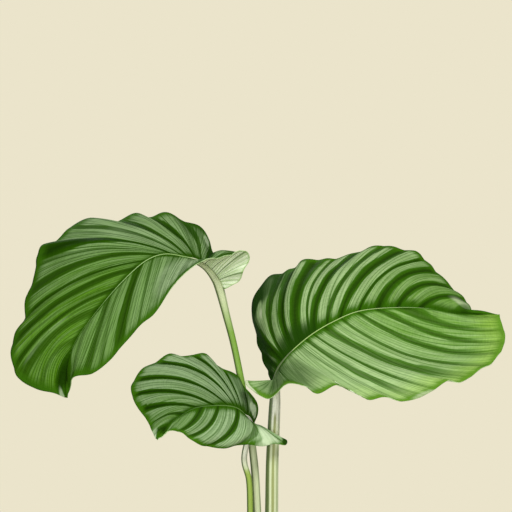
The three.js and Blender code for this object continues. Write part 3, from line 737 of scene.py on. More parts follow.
class UpperFace(LeafFace):
    """A leaf's upper face: dark stripes, and pale bands with fine veins between."""

    # Noise: its lumps a metre, or what streaks() takes
    SOFT_LUMPS = 70.0
    STREAKS, HATCH, THREADS = (7.0, 0.03, 3.0), (2.0, 0.8, 2.0), (15.0, 0.02, 1.0)
    # Where each mark starts and ends
    HALF_VEINS = (30.0, 35.0)
    THREAD_EDGE = (0.5, 0.66)
    STRIPE_EDGE, CORE_EDGE = (-0.15, 0.17), (0.1, 1.0)
    SPINE_EDGE, BORDER_FROM_MM = (0.1, 1.0), 0.4
    FADE_MM = (4.0, 45.0)
    GLOW_MM, GLOW_RUN = (3.0, 34.0), (0.25, 0.62)
    FRESH_RUN = 0.45
    THIN_EDGE = (0.0, 0.5)
    BLEACHED_EDGE, SHADED_EDGE = (0.12, 0.75), (0.05, 0.9)
    RELIEF_MM = 0.2

    def __init__(self, name: str, leaf: LeafFinish) -> None:
        """Works out the shares that the colours are mixed by.

        Args:
            name: The material's name.
            leaf: The leaf's colours and weights.
        """
        super().__init__(name, leaf)
        self.along = self.measure("along")
        self.is_near = self.vein.rise(*self.HALF_VEINS)
        self.soft = self.cloud(self.object_place(), self.SOFT_LUMPS)
        self.streak, self.hatch = self.streaks(*self.STREAKS), self.streaks(*self.HATCH)
        self.inside = self.measure("stripe") + self.streak.swing(0.6) + self.soft.swing(0.3)
        self.stripe = self._stripe()
        thread = self.streaks(*self.THREADS).rise(*self.THREAD_EDGE)
        self.line = (self.fine_veins() * leaf.line_strength).larger(thread * leaf.thread_share)
        off_edge_mm = self.edge_mm + self.soft.swing(6.0) + self.streak.swing(8.0)
        self.from_edge = off_edge_mm.rise(self.BORDER_FROM_MM, leaf.border_mm)
        self.pale = (1 - self.stripe) * (1 - self.line) * self._from_spine() * self.from_edge
        # Painted light: the glow of light shining through the near half near its rim
        rim_glow = self.edge_mm.fall(*self.GLOW_MM) * self.along.rise(*self.GLOW_RUN)
        self.glow = rim_glow * self.is_near * leaf.backlit_share

    def _stripe(self) -> Value:
        """Gives how dark the stripe is, fading towards the near half's rim.

        Returns:
            The share of dark green.
        """
        stripe = self.inside.rise(*self.STRIPE_EDGE) * self.measure("stripe_dark")
        return stripe * (1 - self.edge_mm.fall(*self.FADE_MM) * self.is_near * self.leaf.rim_fade)

    def _from_spine(self) -> Value:
        """Leaves a dark strip along the midrib, partly the leaf's own green and partly painted shade in
        its valley.

        Returns:
            0 on the midrib, rising to 1 past the strip.
        """
        far_mm, near_mm = self.leaf.spine_shade_far_mm, self.leaf.spine_shade_near_mm
        spine_shade_mm = far_mm + self.is_near * (near_mm - far_mm)
        off_spine = self.measure("spine_mm") / spine_shade_mm + self.soft.swing(0.7) + self.streak.swing(0.7)
        return off_spine.rise(*self.SPINE_EDGE)

    def _ground(self) -> Value:
        """Mixes the dark greens: the stripes, darker in their middles, and the rim.

        Returns:
            The colour under the pale bands.
        """
        core = self.inside.rise(*self.CORE_EDGE) * self.stripe
        deep = self.mix(core, self.leaf.stripe, self.leaf.core)
        rim = self.mix(self.is_near * self.leaf.rim_fade * 2, self.leaf.border, self.leaf.fresh)
        return self.mix(self.from_edge, rim, deep)

    def _band(self) -> Value:
        """Mixes the pale bands: silver, fresher towards the tip, and a painted yellow-green glow near
        the rim, where light shines through.

        Returns:
            The bands' colour.
        """
        leaf = self.leaf
        run = self.along.rise(leaf.fresh_from, leaf.fresh_from + self.FRESH_RUN)
        fresh = run * leaf.fresh_most + self.streak.swing(1.4)
        fresh = fresh.larger(0.0).math("MINIMUM", 1.0) * (1 - self.is_near * leaf.near_silver)
        band = self.mix(self.glow, self.mix(fresh, leaf.silver, leaf.fresh), leaf.backlit_tint)
        thin = self.mix(self.glow * 0.5, leaf.fresh, leaf.backlit_tint)
        return self.mix(self.pale.rise(*self.THIN_EDGE), thin, band)

    def _pale_patches_and_painted_light(self, colour: Value) -> Value:
        """Paints the zones: pale patches, partly the leaf's own pale colour and partly painted
        highlights, and painted shade.

        Args:
            colour: The leaf's colour.

        Returns:
            The colour with its pale patches, painted highlights and painted shade.
        """
        zone = self.measure("zone")
        pale_and_highlight_zone = zone + (self.soft.swing(0.5) + self.streak.swing(1.4)) * abs(zone)
        # Pale patches, partly painted highlights on folds and lobes
        pale_and_highlight = pale_and_highlight_zone.rise(*self.BLEACHED_EDGE) * (1 - self.stripe * 0.5)
        colour = self.mix(pale_and_highlight, colour, self.leaf.pale_and_highlight)
        # Painted shade where a zone is negative: folds and base lobes
        return self.mix((zone * -1).rise(*self.SHADED_EDGE), colour, self.leaf.shaded)

    def dress(self) -> bpy.types.Material:
        """Mixes the colours and feeds the surface.

        Returns:
            The material.
        """
        far_half_painted_light = self.leaf.far_half_painted_light
        shown = self.pale + (1 - self.pale) * self.glow * 0.35
        colour = self.mix(shown, self._ground(), self._band())
        light = 0.66 + 0.5 * self.hatch + 0.2 * self.soft
        # Painted shade: the far half is darkened by its light share
        colour = self.shade(colour, light * (far_half_painted_light + self.is_near * (1 - far_half_painted_light)))
        height = self.streak * 0.5 + self.hatch * 0.6 - self.line * 0.8
        return self.finish(Base_Color=self._pale_patches_and_painted_light(colour),
                           Roughness=self.leaf.roughness + self.soft.swing(0.25),
                           Specular_IOR_Level=self.leaf.gloss,
                           Normal=self.relief(height, self.RELIEF_MM))


class LowerFace(LeafFace):
    """A leaf's lower face: pale, with raised green veins."""

    SOFT_LUMPS = 60.0
    STREAKS, STREAK_EDGE = (5.0, 0.03, 3.0), (0.4, 0.75)
    VEIN_EDGE = (0.0, 0.1)
    RIM_MM = (0.3, 2.5)
    RELIEF_MM = 0.25

    def dress(self) -> bpy.types.Material:
        """Mixes the colours and feeds the surface.

        Returns:
            The material.
        """
        leaf = self.leaf
        soft = self.cloud(self.object_place(), self.SOFT_LUMPS)
        main = self.vein.off_whole().fall(*self.VEIN_EDGE)
        line = self.fine_veins()
        streak = self.streaks(*self.STREAKS).rise(*self.STREAK_EDGE)
        green = (main * 0.9).larger(line * 0.8).larger(streak * 0.6)
        colour = self.mix(green, leaf.back_pale, self.mix(main, leaf.back_green, leaf.back_line))
        colour = self.shade(colour, 0.88 + 0.22 * soft)
        colour = self.mix(self.edge_mm.fall(*self.RIM_MM) * 0.6, colour, leaf.back_green)
        return self.finish(Base_Color=colour, Roughness=leaf.back_roughness,
                           Specular_IOR_Level=leaf.gloss,
                           Normal=self.relief(main + line * 0.6, self.RELIEF_MM))


@dataclass(frozen=True)
class MidribFinish:
    """The thin line along the top of a blade, paler at the base."""

    pale: Colour = tint(146, 170, 98)
    green: Colour = tint(88, 126, 44)
    mottle_lumps: float = 160.0
    green_run: Span = (0.1, 0.95)
    roughness: float = 0.45
    relief_mm: float = 0.1

    def material(self, name: str) -> bpy.types.Material:
        """Makes the finish.

        Args:
            name: The material's name.

        Returns:
            The material.
        """
        shader = Shader(name)
        run = shader.measure("run_share").rise(*self.green_run)
        mottle = shader.cloud(shader.object_place(), self.mottle_lumps)
        colour = shader.mix(run * 0.7 + mottle * 0.3, self.pale, self.green)
        return shader.finish(Base_Color=colour, Roughness=self.roughness,
                             Normal=shader.relief(mottle, self.relief_mm))


@dataclass(frozen=True)
class StalkFinish:
    """A stalk's skin: colours by height, painted shade down its sides, an olive groove and long streaks.
    """

    stops: tuple[tuple[float, Colour], ...]
    # Heights of the first and the last place that the stops can name
    low_mm: float = 110.0
    high_mm: float = 420.0
    back: Colour = tint(134, 160, 90)
    # Painted shade: a dark band down one side of the face towards the display, and a thin dark line near
    # the other
    edge: Colour = tint(66, 90, 26)
    side_shade_share: float = 0.9
    side_shade_at: float = -0.62
    rim_shade_share: float = 0.5
    rim_shade_at: float = 0.76
    groove: Colour = tint(120, 128, 62)
    groove_share: float = 0.0
    groove_at: float = 0.12
    groove_top_mm: float = 284.0
    groove_end_mm: float = 4.0
    roughness: float = 0.42
    gloss: float = 0.3
    relief_mm: float = 0.3

    # The noise, where the back thins out by height, and where each mark starts and ends: beside
    # its own middle, and on the turn from the back, -1, to the front, 1
    MOTTLE_LUMPS, STREAK_SIDES, STREAK_HEIGHT = 80.0, 3.2, 9.0
    BACK_THINS = (0.68, 0.84)
    BACK_TURN, EDGE_TURN, RIM_TURN, GROOVE_TURN = (-0.6, 0.1), (-0.2, 0.25), (0.0, 0.3), (0.0, 0.4)
    EDGE_HALF, RIM_HALF, GROOVE_HALF = (-0.1, 0.24), (0.02, 0.12), (0.1, 0.3)

    def material(self, name: str) -> bpy.types.Material:
        """Makes the finish.

        Args:
            name: The material's name.

        Returns:
            The material.
        """
        shader = Shader(name)
        place = shader.object_place()
        height = shader.height(place)
        side, front = shader.measure("to_side"), shader.measure("to_front")
        share = (height / MM - self.low_mm) / (self.high_mm - self.low_mm)
        share = share + shader.cloud(place, self.MOTTLE_LUMPS).swing(0.06)
        body = shader.add("ShaderNodeValToRGB", {"stops": self.stops}, {0: share}, "Color")
        skin = shader.vector(side * self.STREAK_SIDES, front * self.STREAK_SIDES,
                             height * self.STREAK_HEIGHT)
        streak = shader.cloud(skin, 2.0, 3.0)
        wander = side + streak.swing(0.2)
        green = (wander * 0.6 + front).fall(*self.BACK_TURN)
        green = green * (0.8 - 0.6 * share.rise(*self.BACK_THINS))
        # Painted shade down both sides of the stalk's display face
        left = (wander - self.side_shade_at).fall(*self.EDGE_HALF) * front.rise(*self.EDGE_TURN)
        right = abs(wander - self.rim_shade_at).fall(*self.RIM_HALF) * front.rise(*self.RIM_TURN)
        groove = abs(wander - self.groove_at).fall(*self.GROOVE_HALF) * front.rise(*self.GROOVE_TURN)
        below = (height / MM).fall(self.groove_top_mm - self.groove_end_mm,
                                   self.groove_top_mm + self.groove_end_mm)
        colour = shader.mix(green, body, self.back)
        dark = (left * self.side_shade_share).larger(right * self.rim_shade_share)
        colour = shader.mix(dark, colour, self.edge)
        colour = shader.mix(groove * self.groove_share * below, colour, self.groove)
        colour = shader.shade(colour, 0.82 + 0.32 * streak)
        return shader.finish(Base_Color=colour, Roughness=self.roughness,
                             Specular_IOR_Level=self.gloss,
                             Normal=shader.relief(streak, self.relief_mm))


@dataclass(frozen=True)
class SoilFinish:
    """Dark moist potting soil."""

    dark: Colour = tint(38, 28, 20)
    brown: Colour = tint(84, 64, 46)
    lump_grain: Grain = (130.0, 4.0, 0.65)
    grain_lumps: float = 900.0
    brown_edge: Span = (0.35, 0.85)
    roughness: float = 0.95
    relief_mm: float = 1.2

    def material(self, name: str) -> bpy.types.Material:
        """Makes the finish.

        Args:
            name: The material's name.

        Returns:
            The material.
        """
        shader = Shader(name)
        place = shader.object_place()
        lumps = shader.cloud(place, *self.lump_grain)
        grain = shader.cloud(place, self.grain_lumps)
        brown = (lumps * 0.7 + grain * 0.5).rise(*self.brown_edge)
        return shader.finish(Base_Color=shader.mix(brown, self.dark, self.brown),
                             Roughness=self.roughness,
                             Normal=shader.relief(lumps + grain * 0.4, self.relief_mm))


@dataclass(frozen=True)
class CrumbFinish:
    """Loose bits on the soil: bark or perlite."""

    first: Colour
    second: Colour
    patch_lumps: float = 260.0
    patch_edge: Span = (0.3, 0.7)
    grain_lumps: float = 1400.0
    roughness: float = 0.92
    relief_mm: float = 0.4

    def material(self, name: str) -> bpy.types.Material:
        """Makes the finish.

        Args:
            name: The material's name.

        Returns:
            The material.
        """
        shader = Shader(name)
        place = shader.object_place()
        grain = shader.cloud(place, self.grain_lumps)
        patch = shader.cloud(place, self.patch_lumps).rise(*self.patch_edge)
        colour = shader.shade(shader.mix(patch, self.first, self.second), 0.8 + 0.4 * grain)
        return shader.finish(Base_Color=colour, Roughness=self.roughness,
                             Normal=shader.relief(grain, self.relief_mm))


@dataclass(frozen=True)
class ClayFinish:
    """Plain fired clay with fine pores, turning rings and a little pale bloom."""

    clay: Colour = tint(186, 108, 70)
    dusty: Colour = tint(206, 138, 100)
    bloom: Colour = tint(224, 200, 176)
    cloud_grain: Grain = (22.0, 4.0, 0.6)
    dusty_edge: Span = (0.3, 0.75)
    pore_lumps: float = 1300.0
    spot_grain: Grain = (600.0, 1.0)
    spot_edge: Span = (0.3, 0.75)
    ring_grain: Grain = (420.0, 3.0)
    foot_bloom_mm: Span = (4.0, 34.0)
    collar_bloom_mm: Span = (84.0, 104.0)
    roughness: float = 0.82
    relief_mm: float = 0.25

    def material(self, name: str) -> bpy.types.Material:
        """Makes the finish.

        Args:
            name: The material's name.

        Returns:
            The material.
        """
        shader = Shader(name)
        place = shader.object_place()
        height = shader.height(place)
        cloud = shader.cloud(place, *self.cloud_grain)
        pores = shader.cloud(place, self.pore_lumps)
        spots = shader.cloud(place, *self.spot_grain)
        rings = shader.cloud(shader.vector(0.0, 0.0, height), *self.ring_grain)
        at_foot = (height / MM + cloud.swing(60.0)).fall(*self.foot_bloom_mm)
        under_collar = (height / MM + cloud.swing(26.0)).rise(*self.collar_bloom_mm) * 0.4
        salt = (at_foot * 0.45 + under_collar * 0.6) * (0.35 + 0.65 * spots.rise(*self.spot_edge))
        colour = shader.mix(cloud.rise(*self.dusty_edge), self.clay, self.dusty)
        colour = shader.mix(salt, colour, self.bloom)
        colour = shader.shade(colour, 0.84 + 0.2 * pores + 0.12 * rings)
        bumps = pores + spots * 0.5 + rings * 0.8
        return shader.finish(Base_Color=colour, Roughness=self.roughness + cloud * 0.12,
                             Normal=shader.relief(bumps, self.relief_mm))


@dataclass(frozen=True)
class FloorFinish:
    """A plain pale floor that fades out before its rim."""

    colour: Colour = tint(217, 211, 190)
    fade: Span = (0.5, 1.4)
    roughness: float = 0.9

    def material(self, name: str) -> bpy.types.Material:
        """Makes the finish.

        Args:
            name: The material's name.

        Returns:
            The material.
        """
        shader = Shader(name)
        inputs = {0: shader.object_place()}
        away = shader.add("ShaderNodeVectorMath", {"operation": "LENGTH"}, inputs, "Value")
        return shader.finish(Base_Color=self.colour, Roughness=self.roughness,
                             Alpha=away.fall(*self.fade))


# Making pieces

# Points closer than these, in metres, are one: on a tube, a turned body and a drilled one.
TUBE_WELD, TURNED_WELD, DRILLED_WELD = 1e-7, 1e-6, 2e-6

# A tube's tip keeps at least the square root of this share of its radius.
TIP_LEAST = 0.02


def stand(name: str, data: bpy.types.ID) -> bpy.types.Object:
    """Makes an object of a mesh, a light or a camera and links it to the scene.

    Args:
        name: The object's name.
        data: What it shows.

    Returns:
        The object.
    """
    thing = bpy.data.objects.new(name, data)
    bpy.context.scene.collection.objects.link(thing)
    return thing


def solid(bm: bmesh.types.BMesh, name: str, *materials: bpy.types.Material) -> bpy.types.Object:
    """Turns a finished bmesh into an object.

    Args:
        bm: The shape, which is freed.
        name: The object's name.
        materials: Its materials, in slot order.

    Returns:
        The object.
    """
    mesh = bpy.data.meshes.new(name)
    bm.to_mesh(mesh)
    bm.free()
    for material in materials:
        mesh.materials.append(material)
    return stand(name, mesh)


def publish(bm: bmesh.types.BMesh, name: str, materials: Sequence[bpy.types.Material],
            nodes: Sequence[str] = ()) -> bpy.types.Object:
    """Turns a finished bmesh into a piece of the plant.

    Args:
        bm: The shape, which is freed.
        name: The piece's name.
        materials: Its materials, in slot order.
        nodes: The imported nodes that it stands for.

    Returns:
        The piece.
    """
    piece = solid(bm, name, *materials)
    piece.data.polygons.foreach_set("use_smooth", [True] * len(piece.data.polygons))
    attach(piece, "root")
    if nodes:
        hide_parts(*nodes)
    return piece


def grid_shape(bm: bmesh.types.BMesh, columns: int, rows: int, place: Field,
               marks: dict[str, Field]) -> list[bmesh.types.BMVert]:
    """Lays a flat grid over a shape and writes numbers on its points.

    Args:
        bm: Where the grid is made.
        columns: Its steps along the first share.
        rows: Its steps along the second share.
        place: Gives each point's place in metres from its two shares, 0 to 1.
        marks: Numbers kept on the points, by name.

    Returns:
        The grid's points.
    """
    kept = bm.verts.layers.float
    layers = {name: kept.get(name) or kept.new(name) for name in marks}
    verts = bmesh.ops.create_grid(bm, x_segments=columns, y_segments=rows, size=0.5)["verts"]
    flat = np.array([vert.co[:2] for vert in verts]) + 0.5
    for vert, where in zip(verts, place(flat[:, 0], flat[:, 1])):
        vert.co = where
    for name, layer in layers.items():
        for vert, number in zip(verts, marks[name](flat[:, 0], flat[:, 1])):
            vert[layer] = number
    return verts


def sweep(bm: bmesh.types.BMesh, line: SmoothLine, rings: int, sides: int,
          swell: Optional[Field] = None) -> None:
    """Draws a tube that closes softly at its far end.

    Args:
        bm: Where the tube is made.
        line: Its line in millimetres, with its radius as the fourth column.
        rings: Steps along it.
        sides: Steps round it.
        swell: Share of the radius, from the share of the run and the angle.
    """
    rows = line.at(np.linspace(0, 1, rings + 1))
    ahead = unit(np.gradient(rows[:, :3], axis=0))
    front = np.zeros_like(ahead)
    front[0] = (0, -1, 0)
    for i in range(rings + 1):
        last = front[max(i - 1, 0)]
        front[i] = last - ahead[i] * last.dot(ahead[i])
        front[i] /= np.linalg.norm(front[i])
    side = np.cross(ahead, front)

    def place(run: np.ndarray, turn: np.ndarray) -> np.ndarray:
        """Places the tube's points.

        Args:
            run: The share of the run.
            turn: The share of a full turn, 0 towards the display side.

        Returns:
            Places in metres.
        """
        ring, angle = np.rint(run * rings).astype(int), turn * math.tau
        radius = rows[ring, 3] * (swell(run, angle) if swell else 1.0)
        radius = radius * np.sqrt(np.clip((1 - run) * line.length / rows[-1, 3], TIP_LEAST, 1))
        spoke = front[ring] * np.cos(angle)[:, None] + side[ring] * np.sin(angle)[:, None]
        return (rows[ring, :3] + spoke * radius[:, None]) * MM

    verts = grid_shape(bm, rings, sides, place, {
        "run_share": lambda run, turn: run,
        "to_front": lambda run, turn: np.cos(turn * math.tau),
        "to_side": lambda run, turn: np.sin(turn * math.tau),
    })
    bmesh.ops.remove_doubles(bm, verts=verts, dist=TUBE_WELD)
    bmesh.ops.holes_fill(bm, edges=[edge for edge in bm.edges if edge.is_boundary], sides=0)
    bmesh.ops.recalc_face_normals(bm, faces=bm.faces)


# Leaves

class BladeHalf:
    """One half of a blade, from the midrib (reach 0) to the rim (reach 1)."""

    # How far to each side the surface is read to measure it
    STEP = 0.02
    # A stripe's row gives its middle at the reaches 0.3 and 0.7, and it slants from 0.1 to 0.9.
    SLANT_REACH, SLANT_FROM, SLANT_SPAN = (0.1, 0.9), 0.3, 0.4
    # Where a zone fades, as a share of its half size
    ZONE_EDGE = (0.5, 1.2)
    # Stripes darker than this part the ridges, and the others are notches.
    STRONG = 0.55
    # A ridge's height, as a share of its width and at most, the reach over which it rises, and
    # its least width as a vein count
    RIDGE_SHARE, RIDGE_MM, RIDGE_REACH, RIDGE_LEAST_VEINS = 0.1, 1.6, (0, 0.3), 0.05
    # A notch's depth and half width, as a vein count, and a dent's depth and size; where each starts
    NOTCH_MM, NOTCH_HALF, NOTCH_REACH = 0.3, 0.1, (0.02, 0.2)
    DENT_MM, DENT_SIZE_MM, DENT_REACH = 0.45, 17.0, (0, 0.25)

    def __init__(self, plan: BladePlan, side: Side) -> None:
        """Prepares the half's lines.

        Args:
            plan: The blade's plan.
            side: Which half.
        """
        half = plan.far if side is Side.FAR else plan.near
        self.midrib = SmoothLine(plan.midrib)
        self.rim = SmoothLine(half.rim)
        self.veins = np.array(half.veins, float)
        self.stripes = half.stripes
        self.zones = half.zones
        self.bands = len(half.veins) - 1
        self.facing = plan.heading.value * side.value
        self.first_vein = 0.0 if side is Side.FAR else NEAR_VEINS

    def smooth(self, w: np.ndarray, v: np.ndarray) -> np.ndarray:
        """Gives the half's surface before it is quilted.

        Args:
            w: The vein count, whole on a side vein.
            v: The reach.

        Returns:
            Places in millimetres.
        """
        rows = blend_rows(self.veins, w / self.bands)
        start, end = self.midrib.at(rows[:, 1]), self.rim.at(rows[:, 0])
        v = v[:, None]
        return start + (end - start) * v + rows[:, 2:5] * (4 * v * (1 - v))

    def spread(self, w: np.ndarray, v: np.ndarray) -> tuple[np.ndarray, np.ndarray]:
        """Measures the surface round each point.

        Args:
            w: The vein count.
            v: The reach.

        Returns:
            The band's width in millimetres and the upper face's direction.
        """
        low, high = np.maximum(w - self.STEP, 0), np.minimum(w + self.STEP, self.bands)
        across = self.smooth(high, v) - self.smooth(low, v)
        outer, inner = np.minimum(v + self.STEP, 1), np.maximum(v - self.STEP, 0)
        outward = self.smooth(w, outer) - self.smooth(w, inner)
        width = np.linalg.norm(across, axis=1) / (high - low)
        return width, unit(np.cross(across, outward)) * self.facing

    def away(self, w: np.ndarray, v: np.ndarray, line: float) -> np.ndarray:
        """Measures straight to the midrib or the rim.

        Args:
            w: The vein count.
            v: The reach.
            line: The reach of the line: 0 for the midrib, 1 for the rim.

        Returns:
            The distance in millimetres.
        """
        return np.linalg.norm(self.smooth(w, v) - self.smooth(w, np.full_like(v, line)), axis=1)

    def middle(self, stripe: Sequence[float], v: np.ndarray) -> np.ndarray:
        """Follows a stripe's middle from the midrib to the rim.

        Args:
            stripe: The stripe's row.
            v: The reach.

        Returns:
            The vein count of its middle.
        """
        run = np.clip(v, *self.SLANT_REACH) - self.SLANT_FROM
        return stripe[0] + (stripe[1] - stripe[0]) * run / self.SLANT_SPAN

    def striped(self, w: np.ndarray, v: np.ndarray) -> tuple[np.ndarray, np.ndarray]:
        """Finds the stripe that each point is in or nearest to.

        Args:
            w: The vein count.
            v: The reach.

        Returns:
            How far inside it the point is, 1 on its middle and 0 at its edge, and how dark it is.
        """
        inside = np.array([1 - np.abs(w - self.middle(s, v)) / s[2] for s in self.stripes])
        chosen = inside.argmax(axis=0)
        darkness = np.array([s[3] for s in self.stripes])[chosen]
        return np.clip(inside.max(axis=0), -1, 1), darkness

    def zoned(self, w: np.ndarray, v: np.ndarray) -> np.ndarray:
        """Gives how strongly the zones' pale patches, partly painted highlights, and their painted shade
        reach each point.

        Args:
            w: The vein count.
            v: The reach.

        Returns:
            The strength: 1 a pale patch, partly a painted highlight; 0 outside; -1 painted shade.
        """
        strength = np.zeros_like(w)
        for w0, w_half, v0, v_half, most in self.zones:
            away = np.hypot((w - w0) / w_half, (v - v0) / v_half)
            strength = strength + most * (1 - smooth_step(away, *self.ZONE_EDGE))
        return np.clip(strength, -1, 1)

    def marks(self) -> dict[str, Field]:
        """Names the numbers that the shaders read.

        Returns:
            A measure for each name, taken at the vein count and the reach.
        """
        return {
            "vein": lambda w, v: w + self.first_vein,
            "along": lambda w, v: w / self.bands,
            "band_mm": lambda w, v: self.spread(w, v)[0],
            "spine_mm": lambda w, v: self.away(w, v, 0.0),
            "edge_mm": lambda w, v: self.away(w, v, 1.0),
            "stripe": lambda w, v: self.striped(w, v)[0],
            "stripe_dark": lambda w, v: self.striped(w, v)[1],
            "zone": self.zoned,
        }

    def lift(self, w: np.ndarray, v: np.ndarray, width: np.ndarray) -> np.ndarray:
        """Raises a ridge between each two strong stripes and sinks a notch along each weak one.

        Args:
            w: The vein count.
            v: The reach.
            width: The band's width in millimetres.

        Returns:
            The lift in millimetres.
        """
        low, high = np.zeros_like(w), np.full_like(w, self.bands)
        notch = np.zeros_like(w)
        for stripe in self.stripes:
            middle = self.middle(stripe, v)
            if stripe[3] > self.STRONG:
                low = np.where(middle <= w, np.maximum(low, middle), low)
                high = np.where(middle > w, np.minimum(high, middle), high)
            else:
                notch += stripe[3] * np.exp(-((w - middle) / self.NOTCH_HALF) ** 2)
        span = np.maximum(high - low, self.RIDGE_LEAST_VEINS)
        across = (w - low) / span
        ridge = 2 * across * (1 - across) + 0.25 * (1 - np.cos(math.tau * across))
        rise = np.minimum(self.RIDGE_MM, self.RIDGE_SHARE * width * span)
        raised = ridge * (rise * smooth_step(v, *self.RIDGE_REACH))
        return raised - self.NOTCH_MM * notch * smooth_step(v, *self.NOTCH_REACH)

    def quilted(self, w: np.ndarray, v: np.ndarray) -> np.ndarray:
        """Gives the finished surface, ridged and a little dented.

        Args:
            w: The vein count.
            v: The reach.

        Returns:
            Places in millimetres.
        """
        width, up = self.spread(w, v)
        base = self.smooth(w, v)
        dents = np.array([noise.noise(Vector(p) / self.DENT_SIZE_MM) for p in base])
        dent = self.DENT_MM * dents * smooth_step(v, *self.DENT_REACH)
        return base + up * (self.lift(w, v, width) + dent)[:, None]


@dataclass
class LeafBlade:
    """One leaf's blade: two quilted halves that meet at the midrib."""

    name: str
    plan: BladePlan
    finish: LeafFinish
    midrib_finish: MidribFinish = MidribFinish()
    thickness_mm: float = 0.55
    steps_a_band: int = 20
    columns: int = 44
    column_pack: float = 0.06
    spine_steps: int = 400
    spine_reach: float = 0.06
    midrib_rows: int = 40
    midrib_rings: int = 160
    midrib_sides: int = 12
    midrib_end: float = 0.985
    midrib_radius_mm: Span = (1.15, 0.35)
    midrib_taper: float = 0.8
    midrib_sink: float = 0.35

    def halves(self) -> list[BladeHalf]:
        """Gives the two halves."""
        return [BladeHalf(self.plan, side) for side in Side]

    def spine(self, share: np.ndarray) -> tuple[np.ndarray, np.ndarray]:
        """Follows the midrib.

        Args:
            share: Shares of the midrib's length.

        Returns:
            Places in millimetres and the upper face's direction at each.
        """
        ups = []
        for half in self.halves():
            counts = np.linspace(0, half.bands, self.spine_steps)
            starts = blend_rows(half.veins, counts / half.bands)[:, 1]
            w = np.interp(share, np.maximum.accumulate(starts), counts)
            ups.append(half.spread(w, np.full_like(w, self.spine_reach))[1])
        return SmoothLine(self.plan.midrib).at(share), unit(ups[0] + ups[1])

    def build(self) -> list[bpy.types.Object]:
        """Builds and dresses the blade and its midrib."""
        return [self._sheet(), self._midrib()]

    def _sheet(self) -> bpy.types.Object:
        """Builds the sheet with its two faces.

        Returns:
            The piece.
        """
        bm = bmesh.new()
        for half in self.halves():
            self._add_half(bm, half)
        faces = [UpperFace(f"{self.name}_upper", self.finish).dress(),
                 LowerFace(f"{self.name}_lower", self.finish).dress()]
        piece = publish(bm, f"leaf_{self.name}", faces, [f"blade_{self.name}"])
        wall = piece.modifiers.new("thickness", "SOLIDIFY")
        wall.thickness = self.thickness_mm * MM
        wall.offset = 0.0
        wall.material_offset = 1
        wall.material_offset_rim = 1
        return piece

    def _add_half(self, bm: bmesh.types.BMesh, half: BladeHalf) -> None:
        """Adds one half to the sheet.

        Args:
            bm: The sheet.
            half: The half.
        """
        def read(measure: Field) -> Field:
            """Reads a measure at a grid's shares, with columns closer at midrib and rim."""
            return lambda x, y: measure(x * half.bands, y - np.sin(y * math.tau) * self.column_pack)

        verts = grid_shape(bm, half.bands * self.steps_a_band, self.columns,
                           read(lambda w, v: half.quilted(w, v) * MM),
                           {name: read(measure) for name, measure in half.marks().items()})
        if half.facing < 0:
            faces = {face for vert in verts for face in vert.link_faces}
            bmesh.ops.reverse_faces(bm, faces=list(faces))

    def _midrib(self) -> bpy.types.Object:
        """Builds the thin pale line along the top of the blade.

        Returns:
            The piece.
        """
        shares = np.linspace(0.0, self.midrib_end, self.midrib_rows)
        places, ups = self.spine(shares)
        first, last = self.midrib_radius_mm
        radii = first + (last - first) * shares ** self.midrib_taper
        sunk = places - ups * (radii * self.midrib_sink)[:, None]
        bm = bmesh.new()
        sweep(bm, SmoothLine(np.column_stack([sunk, radii])), self.midrib_rings, self.midrib_sides)
        material = self.midrib_finish.material(f"{self.name}_midrib")
        return publish(bm, f"midrib_{self.name}", [material])


@dataclass(frozen=True)
class StalkPlan:
    """One stalk: rows of x, y, z and radius, then the rib under its blade."""

    rows: tuple[tuple[float, float, float, float], ...]
    rib_step: float
    rib_radius: Span
    rib_reach: float
    rib_lean: Point = (0, 0, 0)
    sheath: float = 0.0


